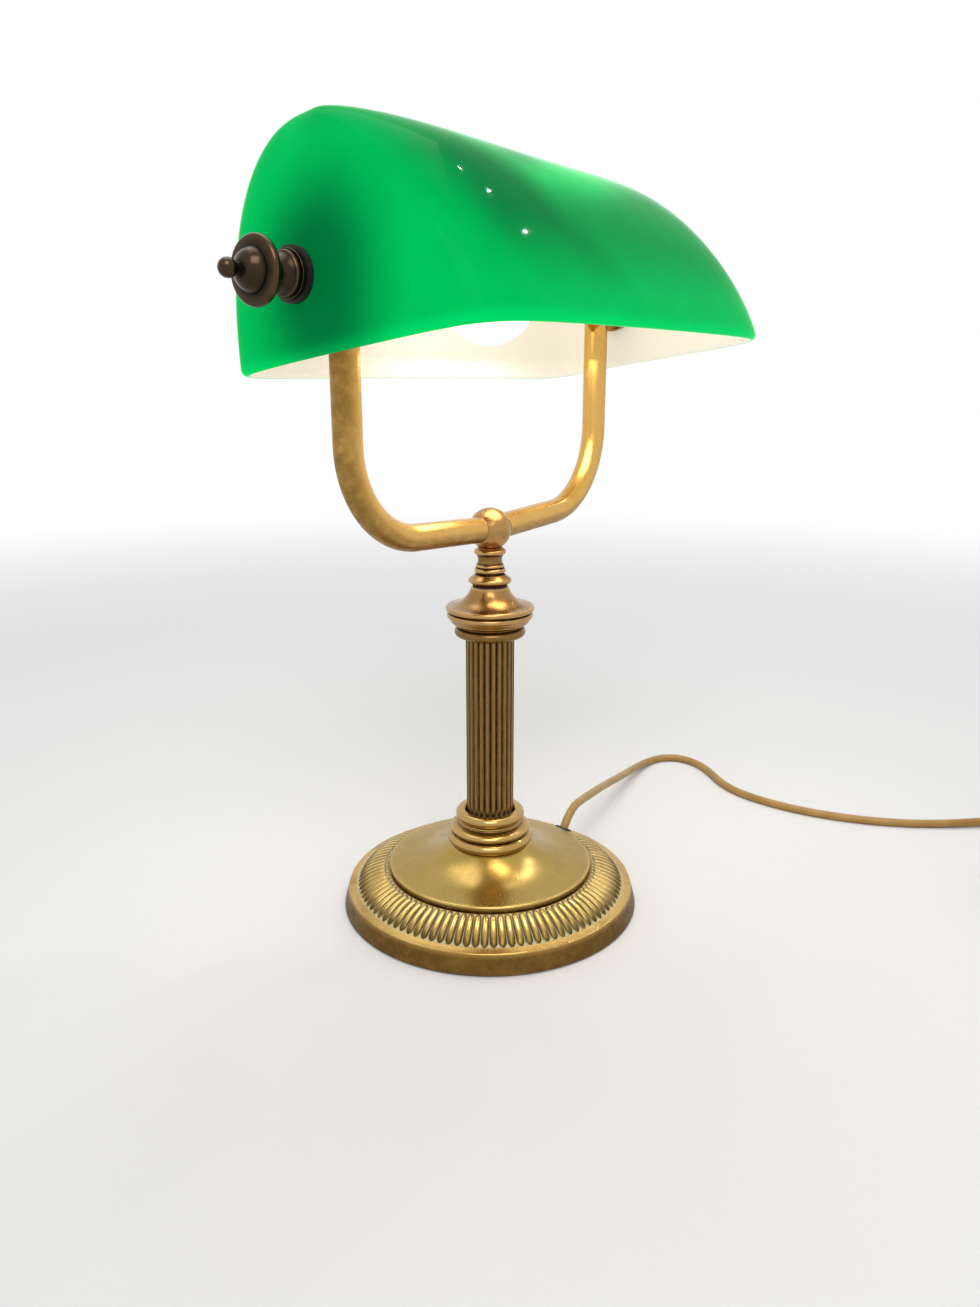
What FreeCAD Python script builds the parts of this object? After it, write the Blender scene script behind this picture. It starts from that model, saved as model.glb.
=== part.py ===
"""Banker desk lamp: gadrooned brass base, reeded column, swivelling yoke and tilting glass shade.

Frame: millimetres, +Z up, origin on the table under the middle of the base. X runs along the yoke,
so the shade's two ends lie at -X and +X, and the long slope of the shade faces -Y.
"""
import FreeCAD, Part
import math
import operator
import os

import Sketcher

Vector = FreeCAD.Vector
Rotation = FreeCAD.Rotation
X_AXIS, Y_AXIS, Z_AXIS = Vector(1, 0, 0), Vector(0, 1, 0), Vector(0, 0, 1)

SIZES = {
    # shared
    "bead_share": 0.52,  # a bead's radius as a share of its height
    "running_gap": 0.1,  # between flat faces that turn on each other
    "fit_gap": 0.05,  # radial, between a shaft or thread and its bore
    "loose_gap": 0.3,  # round pieces that must not touch
    "sheet": 1.2,  # wall of the spun brass pieces
    "turned_step": 0.7,  # small steps and slopes between turned beads
    "turned_line": 0.2,  # fine lines beside them
    "edge_break": 0.6,  # chamfers on turned and milled edges
    # base
    "base_radius": 80.0,
    "foot_gap": 0.8,
    "edge_lean": 2.6,
    "edge_height": 10.2,
    "edge_bead": 1.1,
    "channel_width": 3.5,
    "channel_rise": 0.8,
    "band_inset": 7.8,  # from the base radius to the band's foot
    "band_foot": 11.0,
    "band_width": 16.2,
    "ledge_height": 20.0,
    "ledge_width": 7.0,
    "lobe_count": 100,
    "lobe_fill": 0.88,  # a lobe's width as a share of its spacing at the band's foot
    "lobe_height": 1.7,
    "lobe_crown_share": 0.5,
    "lobe_end_gap": 0.6,
    "lobe_sink": 0.3,
    "felt_inset": 4.0,
    "felt_thickness": 1.5,
    "weight_clearance": 0.8,
    "nut_recess_radius": 13.0,
    "nut_recess_depth": 12.5,
    "lead_slot_width": 8.0,
    "lead_slot_height": 6.5,
    "lead_notch_inset": 13.0,
    # flex exit
    "exit_angle": -8.6,
    "exit_inset": 11.2,  # from the band's foot
    "exit_rise": 6.5,
    "grommet_seat": 0.2,
    "grommet_flange": 5.2,
    "grommet_height": 3.0,
    "grommet_shoulder": 1.2,
    "grommet_shank": 3.6,
    "grommet_lip": 4.8,
    "grommet_lip_height": 1.6,
    "flex_diameter": 5.0,
    "lead_diameter": 4.0,
    # dome
    "dome_inset": 1.0,
    "dome_rim_height": 2.4,
    "dome_lip": 0.8,
    "dome_top_radius": 21.5,
    "dome_top_height": 34.0,
    "dome_sweep": 44.0,
    "dome_flat": 11.0,
    "dome_sweep_height": 24.6,
    # lower collar
    "collar_radius": 21.0,
    "collar_bead": 5.5,
    "collar_neck_bead": 3.6,
    "collar_step": 0.8,
    "collar_height": 12.0,
    "collar_top_radius": 16.2,
    "collar_bore": 13.0,
    "collar_floor": 3.0,
    # column
    "cup_height": 7.2,
    "cup_bead": 5.5,
    "cup_bead_place": 1.5,
    "cup_lip": 2.0,
    "column_length": 102.3,
    "column_socket": 3.5,
    "socket_gap": 0.4,
    "column_radius": 12.7,
    "reed_count": 24,
    "reed_radius": 1.62,
    "reed_depth": 1.0,
    "column_wall": 1.1,
    # capital
    "ring_radius": 16.6,
    "ring_bead": 4.8,
    "ring_height": 3.0,
    "ring_socket": 2.6,
    "spigot_height": 3.0,
    "spigot_radius": 13.9,
    "spigot_wall": 2.4,
    "cap_foot_radius": 17.6,
    "cap_rim_radius": 21.4,
    "cap_rim_foot": 4.2,
    "cap_rim_bead": 2.4,
    "cap_crown_bead": 2.5,
    "cap_sweep": 13.0,
    "cap_height": 20.3,
    "cap_top_radius": 9.65,
    "cap_boss": 6.1,
    "cap_room": 8.5,
    # rod and its fasteners
    "rod_radius": 5.0,
    "rod_bore": 3.4,
    "rod_overhang": 0.8,
    "rod_nut_width": 14.0,
    "rod_nut_height": 4.0,
    "plate_thickness": 0.8,
    "plate_radius": 11.0,
    # swivel
    "swivel_shank": 5.95,
    "swivel_nut_width": 16.0,
    "swivel_washer_radius": 8.8,
    "swivel_washer_height": 0.6,
    "spring_washer_height": 1.2,
    "shank_overhang": 0.7,
    # neck
    "neck_foot_radius": 8.4,
    "neck_flare_radius": 10.6,
    "neck_flare_foot": 1.5,
    "neck_flare_bead": 2.2,
    "neck_ring_radius": 7.2,
    "neck_ring_bead": 2.4,
    "neck_small_bead": 1.7,
    "neck_flare_height": 6.4,
    "neck_waist_sweep": 5.0,
    "neck_lip_radius": 7.0,
    "neck_lip_bead": 2.6,
    "neck_waist_height": 5.0,
    "neck_height": 19.4,
    "neck_bore": 3.2,
    # ball and arms
    "ball_radius": 10.7,
    "ball_drop": 9.1,
    "ball_nipple_radius": 4.0,
    "ball_nipple_bore": 2.6,
    "ball_nipple_depth": 4.5,
    "arm_radius": 6.35,
    "arm_wall": 1.0,
    "arm_socket": 5.0,
    "arm_rise": 2.8,
    "arm_bend": 44.0,
    "arm_top": 102.0,
    # heads and pivots
    "pivot_above_arm": 8.5,
    "head_radius": 8.2,
    "head_inner_length": 10.0,
    "head_outer_length": 10.3,
    "spigot_depth": 8.5,
    "lead_hole": 2.6,
    "nipple_radius": 5.0,
    "nipple_bore": 3.4,
    "nipple_inner_overhang": 8.0,
    "nipple_outer_overhang": 7.0,
    "nipple_side_hole": 3.3,
    "lock_nut_width": 14.0,
    "lock_nut_height": 5.0,
    "clamp_plate_radius": 12.0,
    "clamp_plate_thickness": 2.4,
    "blank_nut_length": 9.0,
    "blank_nut_wall": 1.0,
    "blank_nut_corner": 2.2,
    # shade, measured from the pivot when the shade is level
    "shade_half_length": 125.0,
    "shade_top_half_length": 97.5,
    "shade_front": 89.0,
    "shade_back": 49.3,
    "shade_drop": 30.7,
    "shade_height": 93.5,
    "shade_wall": 4.0,
    "shade_saddle": 0.02,
    "shade_tilt": 8.5,
    "shade_hole_gap": 0.5,
    "seat_radius": 12.0,
    "seat_thickness": 4.8,
    "inner_washer_radius": 11.5,
    "inner_washer_thickness": 2.4,
    "outer_washer_radius": 10.5,
    "outer_washer_thickness": 2.2,
    # finials
    "finial_flange": 9.3,
    "finial_flange_height": 2.0,
    "finial_bead": 8.2,
    "finial_bead_height": 2.4,
    "finial_waist": 5.5,
    "finial_waist_place": 8.6,
    "finial_disc": 12.1,
    "finial_disc_place": 15.2,
    "finial_disc_height": 3.0,
    "finial_boss": 8.2,
    "finial_neck": 2.5,
    "finial_neck_place": 24.4,
    "finial_tip": 3.6,
    "finial_hollow": 9.0,  # radii of its swept curves
    "finial_flare": 7.0,
    "finial_tip_place": 29.2,
    # lampholder and bulb, measured inwards from the left head
    "holder_cap_radius": 15.5,
    "holder_cap_neck": 8.0,
    "holder_cap_length": 18.0,
    "holder_wall": 0.9,
    "holder_barrel_radius": 15.0,
    "holder_barrel_wall": 1.8,
    "holder_barrel_end": 50.0,
    "holder_ring_radius": 18.0,
    "holder_ring_place": 26.5,
    "holder_ring_length": 4.0,
    "insert_end": 30.0,
    "insert_start": 14.0,
    "plunger_radius": 2.0,
    "plunger_spread": 4.6,
    "plunger_length": 3.0,
    "switch_bar_radius": 2.5,
    "switch_bar_place": 20.5,
    "switch_bar_length": 44.0,
    "switch_travel": 6.0,
    "bayonet_slot": 3.0,
    "bayonet_pin": 1.1,
    "bayonet_place": 40.0,
    "bulb_cap_radius": 11.0,
    "bulb_cap_length": 24.0,
    "bulb_cap_wall": 0.6,
    "bulb_radius": 22.5,
    "bulb_centre": 88.0,
    "bulb_glass": 1.0,
    "bulb_shoulder": 35.0,
    # flex on the table
    "coil_radius": 26.5,
    "coil_width": 20.4,
    "coil_height": 10.2,
    "coil_corner": 4.0,
    "coil_socket": 14.0,
    "coil_lead_in": 20.0,
    "coil_lead_out": 24.0,
    "coil_entry_angle": 30.0,
    "coil_leave_angle": -90.0,
    "tie_angle": -170.0,
    "tie_width": 6.0,
    "tie_wall": 0.8,
    # plug, lying on its cover with its pins up
    "plug_length": 50.0,
    "plug_width": 50.0,
    "plug_nose": 30.0,
    "plug_corner": 6.0,
    "plug_wall": 2.4,
    "plug_cover_height": 12.0,
    "plug_base_height": 8.0,
    "pin_spacing": 22.2,
    "pin_row": 17.5,
    "pin_width": 6.35,
    "pin_thickness": 4.0,
    "pin_length": 17.7,
    "earth_pin_width": 8.0,
    "earth_pin_length": 22.7,
    "pin_tail": 3.0,
    "fuse_radius": 3.15,
    "fuse_length": 25.4,
    "fuse_place": -18.5,
    "plug_screw_radius": 1.8,
    "plug_screw_head": 3.3,
    "plug_flex_height": 8.0,
    "plug_flex_depth": 10.0,
    "plug_lead_in": 13.0,
    "plug_shoulder": 12.0,
    "grip_length": 18.0,
    "grip_width": 5.0,
}

OPERATIONS = {"+": operator.add, "-": operator.sub, "*": operator.mul, "/": operator.truediv}


class Size:
    """A number together with the sheet expression that gives it, so that both use one arithmetic."""

    def __init__(self, value, text=None):
        self.value = float(value)
        self.text = text or f"({float(value)!r})"

    @property
    def driven(self):
        """Whether a cell of the sheet drives this size."""
        return "Sizes." in self.text

    def __add__(self, other):
        return combined(self, "+", other)

    def __radd__(self, other):
        return combined(other, "+", self)

    def __sub__(self, other):
        return combined(self, "-", other)

    def __rsub__(self, other):
        return combined(other, "-", self)

    def __mul__(self, other):
        return combined(self, "*", other)

    def __rmul__(self, other):
        return combined(other, "*", self)

    def __truediv__(self, other):
        return combined(self, "/", other)

    def __neg__(self):
        return combined(0, "-", self)


def as_size(value):
    """A Size as it is, and a plain number as an undriven Size."""
    return value if isinstance(value, Size) else Size(value)


def combined(first, sign, second):
    """The Size of two sizes joined by one of the four operations."""
    first, second = as_size(first), as_size(second)
    value = OPERATIONS[sign](first.value, second.value)
    return Size(value, f"({first.text} {sign} {second.text})")


def sine(angle):
    """Sine of an angle in degrees."""
    return Size(math.sin(math.radians(angle.value)), f"sin({angle.text} * 1 deg)")


def cosine(angle):
    """Cosine of an angle in degrees."""
    return Size(math.cos(math.radians(angle.value)), f"cos({angle.text} * 1 deg)")


def tangent(angle):
    """Tangent of an angle in degrees."""
    return Size(math.tan(math.radians(angle.value)), f"tan({angle.text} * 1 deg)")


def root(size):
    """Square root of a size."""
    return Size(math.sqrt(size.value), f"sqrt({size.text})")


class SizeBook:
    """Gives each named value of the sheet as a Size: book.base_radius."""

    def __getattr__(self, name):
        return Size(SIZES[name], f"Sizes.{name}")


document = FreeCAD.newDocument("BankerLamp")
book = SizeBook()
published = []


def fill_sheet():
    """Write the driving sizes to the document's spreadsheet, one cell and one alias each."""
    sheet = document.addObject("Spreadsheet::Sheet", "Sizes")
    for row, (name, value) in enumerate(SIZES.items(), start=1):
        sheet.set(f"A{row}", str(value))
        sheet.setAlias(f"A{row}", name)
    document.recompute()


# ---------------------------------------------------------------- general helpers


def bind(item, prop, size):
    """Set a property to a size and, if a cell drives it, bind it with an expression."""
    size = as_size(size)
    if size.driven:
        item.setExpression(prop, size.text)
    else:
        setattr(item, prop, size.value)


def place(item, x=0, y=0, z=0, rotation=None):
    """Place an object, with its position bound to the sheet."""
    point = [as_size(value) for value in (x, y, z)]
    base = Vector(*(size.value for size in point))
    item.Placement = FreeCAD.Placement(base, rotation or Rotation())
    for letter, size in zip("xyz", point):
        if size.driven:
            item.setExpression(f".Placement.Base.{letter}", size.text)
    return item


def publish(item, label):
    """Give an object the name of its file and put it on the list of sub-parts."""
    item.Label = label
    published.append(item)
    return item


def new_body(name):
    return document.addObject("PartDesign::Body", f"{name}_body")


def origin_feature(body, role):
    """One of the body's own origin planes or axes."""
    return next(item for item in body.Origin.OriginFeatures if item.Role == role)


def new_sketch(body, plane, offset=None):
    """A sketch on one of the body's origin planes, moved on it by an optional placement."""
    sketch = body.newObject("Sketcher::SketchObject", f"{body.Name}_sketch")
    sketch.AttachmentSupport = (origin_feature(body, plane), "")
    sketch.MapMode = "FlatFace"
    if offset:
        sketch.AttachmentOffset = offset
    return sketch


def dimension(sketch, kind, *references):
    """Add a driving constraint whose last argument is its size."""
    size = as_size(references[-1])
    index = sketch.addConstraint(Sketcher.Constraint(kind, *references[:-1], size.value))
    if size.driven:
        sketch.setExpression(f"Constraints[{index}]", size.text)


def arc_between(start, end, radius):
    """The arc from start to end that bulges out of an anticlockwise outline, or in if radius < 0."""
    chord = end - start
    left = Vector(-chord.y, chord.x, 0).normalize()
    reach = math.sqrt(radius ** 2 - (chord.Length / 2) ** 2)
    centre = (start + end) / 2 + left * math.copysign(reach, radius)
    angles = [math.atan2(point.y - centre.y, point.x - centre.x) for point in (start, end)]
    if radius < 0:
        angles.reverse()
    return Part.ArcOfCircle(Part.Circle(centre, Z_AXIS, abs(radius)), *angles)


def draw_outline(sketch, corners):
    """Draw a closed anticlockwise outline of (across, up) or (across, up, radius) corners.

    The radius is that of the arc to the next corner, negative where it is hollow.
    """
    corners = [[as_size(value) for value in corner] for corner in corners]
    points = [Vector(corner[0].value, corner[1].value, 0) for corner in corners]
    first = sketch.GeometryCount
    ends = []
    for index, corner in enumerate(corners):
        start, end = points[index], points[(index + 1) % len(points)]
        if len(corner) == 2:
            sketch.addGeometry(Part.LineSegment(start, end))
            ends.append((1, 2))
            continue
        sketch.addGeometry(arc_between(start, end, corner[2].value))
        ends.append((1, 2) if corner[2].value > 0 else (2, 1))
    for index, corner in enumerate(corners):
        following = (index + 1) % len(corners)
        geometry, start = first + index, ends[index][0]
        sketch.addConstraint(Sketcher.Constraint(
            "Coincident", geometry, ends[index][1], first + following, ends[following][0]))
        dimension(sketch, "DistanceX", -1, 1, geometry, start, corner[0])
        dimension(sketch, "DistanceY", -1, 1, geometry, start, corner[1])
        if len(corner) == 3:
            radius = corner[2] if corner[2].value > 0 else -corner[2]
            dimension(sketch, "Radius", geometry, radius)


def draw_circle(sketch, radius, across=0, up=0):
    """Draw a circle whose centre and radius are bound to the sheet."""
    radius, across, up = as_size(radius), as_size(across), as_size(up)
    centre = Vector(across.value, up.value, 0)
    index = sketch.addGeometry(Part.Circle(centre, Z_AXIS, radius.value))
    dimension(sketch, "DistanceX", -1, 1, index, 3, across)
    dimension(sketch, "DistanceY", -1, 1, index, 3, up)
    dimension(sketch, "Radius", index, radius)


def draw_rectangle(sketch, low, high):
    """Draw a rectangle between two corners."""
    draw_outline(sketch, [low, (high[0], low[1]), high, (low[0], high[1])])


def add_turning(body, corners):
    """Revolve an outline of (radius, height) corners about the body's Z axis."""
    sketch = new_sketch(body, "XZ_Plane")
    draw_outline(sketch, corners)
    turning = body.newObject("PartDesign::Revolution", f"{body.Name}_turning")
    turning.Profile = sketch
    turning.ReferenceAxis = (sketch, ["V_Axis"])
    turning.Angle = 360
    return turning


def turned(name, corners):
    """A body turned from one outline."""
    body = new_body(name)
    add_turning(body, corners)
    return body


def add_pad(body, sketch, length, midplane=False):
    pad = body.newObject("PartDesign::Pad", f"{body.Name}_pad")
    pad.Profile = sketch
    pad.Midplane = midplane
    bind(pad, "Length", length)
    return pad


def add_pocket(body, sketch, length, midplane=True):
    """A pocket that reaches to both sides of its sketch, so that its direction doesn't matter."""
    pocket = body.newObject("PartDesign::Pocket", f"{body.Name}_pocket")
    pocket.Profile = sketch
    pocket.Midplane = midplane
    bind(pocket, "Length", length)
    return pocket


def add_pattern(body, feature, count):
    """Repeat a feature round the body's Z axis."""
    pattern = body.newObject("PartDesign::PolarPattern", f"{body.Name}_pattern")
    pattern.Originals = [feature]
    pattern.Axis = (origin_feature(body, "Z_Axis"), [""])
    pattern.Angle = 360
    bind(pattern, "Occurrences", count)
    body.Tip = pattern
    return pattern


def hexagon_nut(name, width, height, bore):
    """A hexagonal nut that stands on its own origin."""
    body = new_body(name)
    sketch = new_sketch(body, "XY_Plane")
    corner = as_size(width) / root(Size(3))
    points = [(corner * round(math.cos(math.radians(60 * step)), 6),
               corner * round(math.sin(math.radians(60 * step)), 6)) for step in range(6)]
    draw_outline(sketch, points)
    draw_circle(sketch, bore)
    add_pad(body, sketch, height)
    return body


def cylinder(radius, height, x=0, y=0, z=0, rotation=None):
    item = document.addObject("Part::Cylinder", "Rod")
    bind(item, "Radius", radius)
    bind(item, "Height", height)
    return place(item, x, y, z, rotation)


def box(length, width, height, x=0, y=0, z=0):
    """A box whose place is the middle of its lower face."""
    item = document.addObject("Part::Box", "Block")
    for prop, size in (("Length", length), ("Width", width), ("Height", height)):
        bind(item, prop, size)
    return place(item, as_size(x) - as_size(length) / 2, as_size(y) - as_size(width) / 2, z)


def cut(base, *tools):
    """Cut tools out of a base, one after the other."""
    for tool in tools:
        item = document.addObject("Part::Cut", "Cut")
        item.Base, item.Tool = base, tool
        base = item
    return base


def fused(*items):
    item = document.addObject("Part::MultiFuse", "Fusion")
    item.Shapes = list(items)
    return item


def compound(*items):
    item = document.addObject("Part::Compound", "Group")
    item.Links = list(items)
    return item


def mirrored(source, normal=X_AXIS):
    """The mirror image of an object across the lamp's middle plane."""
    item = document.addObject("Part::Mirroring", "Mirror")
    item.Source, item.Normal, item.Base = source, normal, Vector()
    return item


def solid_feature(shape, name):
    item = document.addObject("Part::Feature", name)
    item.Shape = shape
    return item


def lathe_ring(name, inner, outer, low, high):
    """A plain turned ring or washer."""
    return turned(name, [(inner, low), (outer, low), (outer, high), (inner, high)])


# ---------------------------------------------------------------- swept round sections


def rounded_path(points, radii):
    """Lines joined by tangent arcs: a wire, its length and the arcs' radii."""
    edges, start = [], points[0]
    for before, corner, after, radius in zip(points, points[1:], points[2:], radii):
        back, ahead = (before - corner).normalize(), (after - corner).normalize()
        half_turn = (math.pi - back.getAngle(ahead)) / 2
        reach = radius * math.tan(half_turn)
        middle = corner + (back + ahead).normalize() * (radius / math.cos(half_turn) - radius)
        enter, leave = corner + back * reach, corner + ahead * reach
        edges.append(Part.makeLine(start, enter))
        edges.append(Part.Arc(enter, middle, leave).toShape())
        start = leave
    edges.append(Part.makeLine(start, points[-1]))
    wire = Part.Wire(edges)
    return wire, sum(edge.Length for edge in edges)


def round_sweep(name, points, radii, diameter):
    """A round section swept along a rounded path; it stops the build if its volume is wrong."""
    wire, length = rounded_path(points, radii)
    direction = points[1] - points[0]
    ring = Part.Wire(Part.makeCircle(diameter / 2, points[0], direction))
    sweep = wire.makePipeShell([ring], True, False)
    expected = math.pi * diameter ** 2 / 4 * length
    if abs(sweep.Volume - expected) > 0.002 * expected:
        raise ValueError(f"{name}: volume {sweep.Volume:.0f}, expected {expected:.0f}")
    return solid_feature(sweep, name)


def easy_radii(points):
    """The largest radii that a cord's runs allow at each of its points."""
    radii = []
    for before, corner, after in zip(points, points[1:], points[2:]):
        turn = math.pi - (before - corner).getAngle(after - corner)
        shorter = min((corner - before).Length, (after - corner).Length)
        radii.append(0.45 * shorter / math.tan(turn / 2))
    return radii


# ---------------------------------------------------------------- heights of the stack

band_slope = Size(
    math.degrees(math.atan2(SIZES["ledge_height"] - SIZES["band_foot"], SIZES["band_width"])),
    "(atan2(Sizes.ledge_height - Sizes.band_foot; Sizes.band_width) / 1 deg)")
band_radius = book.base_radius - book.band_inset
ledge_radius = band_radius - book.band_width
dome_radius = ledge_radius - book.dome_inset
exit_radius = band_radius - book.exit_inset
rod_hole = book.rod_radius + book.loose_gap
collar_foot = book.dome_top_height
cup_foot = collar_foot + book.collar_height
column_foot = cup_foot + book.column_socket
column_head = column_foot + book.column_length
ring_foot = column_head + book.turned_line
ring_top = ring_foot + book.ring_height
cap_top = ring_top + book.cap_height
neck_foot = cap_top + book.swivel_washer_height + book.running_gap
ball_foot = neck_foot + book.neck_height
ball_height = ball_foot + book.ball_drop
arm_end = ball_height + book.arm_top
pivot_height = arm_end + book.pivot_above_arm

# distances from the lamp's middle plane along the pivot axis


def shade_reach(share):
    """The shade's half length at a share of its height."""
    low, high = SIZES["shade_half_length"], SIZES["shade_top_half_length"]
    return high + (low - high) * (1 - share ** 2) ** 0.4


pivot_share = SIZES["shade_drop"] / SIZES["shade_height"]
seat_face = Size(shade_reach(pivot_share)) + 0.2
glass_inner = seat_face - book.seat_thickness
plate_outer = glass_inner - book.inner_washer_thickness - book.running_gap
plate_inner = plate_outer - book.clamp_plate_thickness
head_outer = plate_inner - book.lock_nut_height
arm_half_span = head_outer - book.head_outer_length
head_inner = arm_half_span - book.head_inner_length
washer_face = seat_face + book.outer_washer_thickness
finial_foot = washer_face + book.running_gap
nipple_inner = head_inner - book.nipple_inner_overhang
nipple_outer = finial_foot + book.nipple_outer_overhang
OUTWARD = Rotation(Y_AXIS, 90)
OUTWARD_LEFT = Rotation(Y_AXIS, -90)


def on_pivot(item, distance=0, left=False):
    """Lay a piece turned about its own Z axis on the pivot axis, pointing outwards."""
    return place(item, -as_size(distance) if left else distance, 0, pivot_height,
                 OUTWARD_LEFT if left else OUTWARD)


def both_sides(item):
    """A group of the piece on the right and its mirror image on the left."""
    return compound(item, mirrored(item))


# ---------------------------------------------------------------- base


def make_felt_pad():
    """Felt disc under the weight, inside the shell's foot."""
    radius, top = book.base_radius - book.felt_inset, book.felt_thickness
    body = turned("felt_pad", [(0, 0), (radius, 0), (radius, top), (0, top)])
    publish(body, "felt_pad")


def make_base_weight():
    """Cast iron disc that fills the shell, with a recess for the nut and a slot for the flex."""
    low, top = book.felt_thickness, book.ledge_height - book.sheet
    side = book.edge_height - book.sheet
    rim = book.base_radius - book.edge_lean - book.sheet * 2 - book.weight_clearance
    shoulder = band_radius - book.sheet / 2 - book.weight_clearance * 2
    crown = ledge_radius - book.sheet / 4 - book.weight_clearance * 2
    recess = low + book.nut_recess_depth
    body = turned("base_weight", [
        (book.nut_recess_radius, low), (rim, low), (rim, side), (shoulder, side), (crown, top),
        (rod_hole, top), (rod_hole, recess), (book.nut_recess_radius, recess)])
    turn = FreeCAD.Placement(Vector(), Rotation(Z_AXIS, SIZES["exit_angle"]))
    half = book.lead_slot_width / 2
    slot = new_sketch(body, "XY_Plane", turn)
    draw_rectangle(slot, (0, -half), (book.base_radius, half))
    add_pocket(body, slot, (low + book.lead_slot_height) * 2)
    notch = new_sketch(body, "XY_Plane", turn)
    side = book.grommet_lip + book.weight_clearance
    draw_rectangle(notch, (exit_radius - book.lead_notch_inset, -side), (book.base_radius, side))
    add_pocket(body, notch, book.ledge_height * 2)
    publish(body, "base_weight")


def exit_frame():
    """Where the flex leaves the band: a point of the ground seat and the direction square to it."""
    slope, turn = math.radians(band_slope.value), math.radians(SIZES["exit_angle"])
    radius = exit_radius.value
    height = SIZES["band_foot"] + SIZES["exit_inset"] * math.tan(slope)
    point = Vector(radius * math.cos(turn), radius * math.sin(turn), height)
    normal = Vector(math.sin(slope) * math.cos(turn), math.sin(slope) * math.sin(turn), math.cos(slope))
    return point - normal * SIZES["grommet_seat"], normal


def make_base_shell():
    """Spun shell: leaning edge, bead, channel, gadroon band and ledge for the dome."""
    wall = book.sheet
    edge = book.base_radius - book.edge_lean
    channel = edge - book.edge_bead
    body = new_body("base_shell")
    add_turning(body, [
        (book.base_radius, book.foot_gap), (edge, book.edge_height, book.edge_bead * 0.75),
        (channel, book.band_foot), (channel - book.channel_width, book.band_foot + book.channel_rise),
        (band_radius, book.band_foot), (ledge_radius, book.ledge_height),
        (ledge_radius - book.ledge_width, book.ledge_height),
        (ledge_radius - book.ledge_width, book.ledge_height - wall),
        (ledge_radius - wall / 4, book.ledge_height - wall),
        (band_radius - wall / 2, book.band_foot - wall),
        (edge - wall * 1.3, book.band_foot - wall), (book.base_radius - wall, book.foot_gap)])
    # one lobe of the gadroon band, padded down the slope, then repeated
    inset = SIZES["lobe_end_gap"]
    slope = band_slope.value
    start = Vector(0, SIZES["ledge_height"] - inset * math.sin(math.radians(slope)),
                   ledge_radius.value + inset * math.cos(math.radians(slope)))
    sketch = new_sketch(body, "YZ_Plane", FreeCAD.Placement(start, Rotation(X_AXIS, slope)))
    foot = band_radius * math.pi / book.lobe_count * book.lobe_fill
    crown, sunk, height = foot * book.lobe_crown_share, -book.lobe_sink, book.lobe_height
    draw_outline(sketch, [(-foot, sunk), (foot, sunk), (crown, height), (-crown, height)])
    lobe = add_pad(body, sketch, book.band_width / cosine(band_slope) - book.lobe_end_gap)
    add_pattern(body, lobe, book.lobe_count)
    point, normal = exit_frame()
    hole, seat = book.grommet_shank + book.fit_gap, book.grommet_flange + book.running_gap
    reach = book.grommet_height * 2
    cutter = turned("exit_cutter", [
        (0, -reach), (hole, -reach), (hole, 0), (seat, 0), (seat, reach), (0, reach)])
    cutter.Placement = FreeCAD.Placement(point, Rotation(Z_AXIS, normal))
    publish(cut(body, cutter), "base_shell")


def make_cord_grommet():
    """Rubber sleeve in the band: outer flange, shank through the wall and inner lip."""
    flex = book.flex_diameter / 2 + book.running_gap
    seat = -book.sheet - book.running_gap
    foot, top, shoulder = seat - book.grommet_lip_height, book.grommet_height, book.grommet_shoulder
    body = turned("cord_grommet", [
        (flex, foot), (book.grommet_lip, foot), (book.grommet_lip, seat), (book.grommet_shank, seat),
        (book.grommet_shank, 0), (book.grommet_flange, 0), (book.grommet_flange, top - shoulder, shoulder),
        (book.grommet_flange - shoulder, top), (flex, top)])
    point, normal = exit_frame()
    body.Placement = FreeCAD.Placement(point, Rotation(Z_AXIS, normal))
    publish(body, "cord_grommet")


def make_dome_plate():
    """Swept brass dome that sits on the ledge and carries the collar."""
    wall, foot, top = book.sheet, book.ledge_height, book.dome_top_height
    rim, lip = foot + book.dome_rim_height, book.dome_lip
    flat = dome_radius - book.dome_flat
    body = turned("dome_plate", [
        (dome_radius, foot), (dome_radius, rim, lip), (dome_radius - lip, rim + lip),
        (flat, book.dome_sweep_height, -book.dome_sweep), (book.dome_top_radius, top),
        (rod_hole, top), (rod_hole, top - wall),
        (book.dome_top_radius - wall / 2, top - wall, book.dome_sweep),
        (flat - wall / 4, book.dome_sweep_height - wall),
        (dome_radius - wall, rim + lip - wall), (dome_radius - wall, foot)])
    publish(body, "dome_plate")


# ---------------------------------------------------------------- column


def make_lower_collar():
    """Turned collar with a large and a small bead."""
    foot, top, step = collar_foot, cup_foot, book.turned_step
    bead, small = book.collar_bead, book.collar_neck_bead
    outer, inner = book.collar_radius, book.collar_radius - book.collar_step
    first, second = foot + book.turned_line, foot + book.turned_line + bead + step + book.turned_line
    floor = foot + book.collar_floor
    body = turned("lower_collar", [
        (rod_hole, foot), (outer, foot), (outer, first, bead * book.bead_share), (outer, first + bead),
        (inner - book.turned_line, second - book.turned_line), (inner, second, small * book.bead_share),
        (inner, second + small), (book.collar_top_radius + step, top - step), (book.collar_top_radius, top),
        (book.collar_bore, top), (book.collar_bore, floor), (rod_hole, floor)])
    publish(body, "lower_collar")


def make_column_cup():
    """Cup with one bead that holds the foot of the column."""
    foot, outer, line = cup_foot, book.collar_top_radius, book.turned_line
    socket = book.column_radius + book.socket_gap
    top, bead = foot + book.cup_height, foot + book.cup_bead_place
    body = turned("column_cup", [
        (rod_hole, foot), (outer, foot), (outer - line, bead - line),
        (outer + line, bead, book.cup_bead * book.bead_share), (outer + line, bead + book.cup_bead),
        (outer - book.cup_lip, top), (socket, top - book.cup_lip / 2), (socket, column_foot),
        (rod_hole, column_foot)])
    publish(body, "column_cup")


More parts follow.
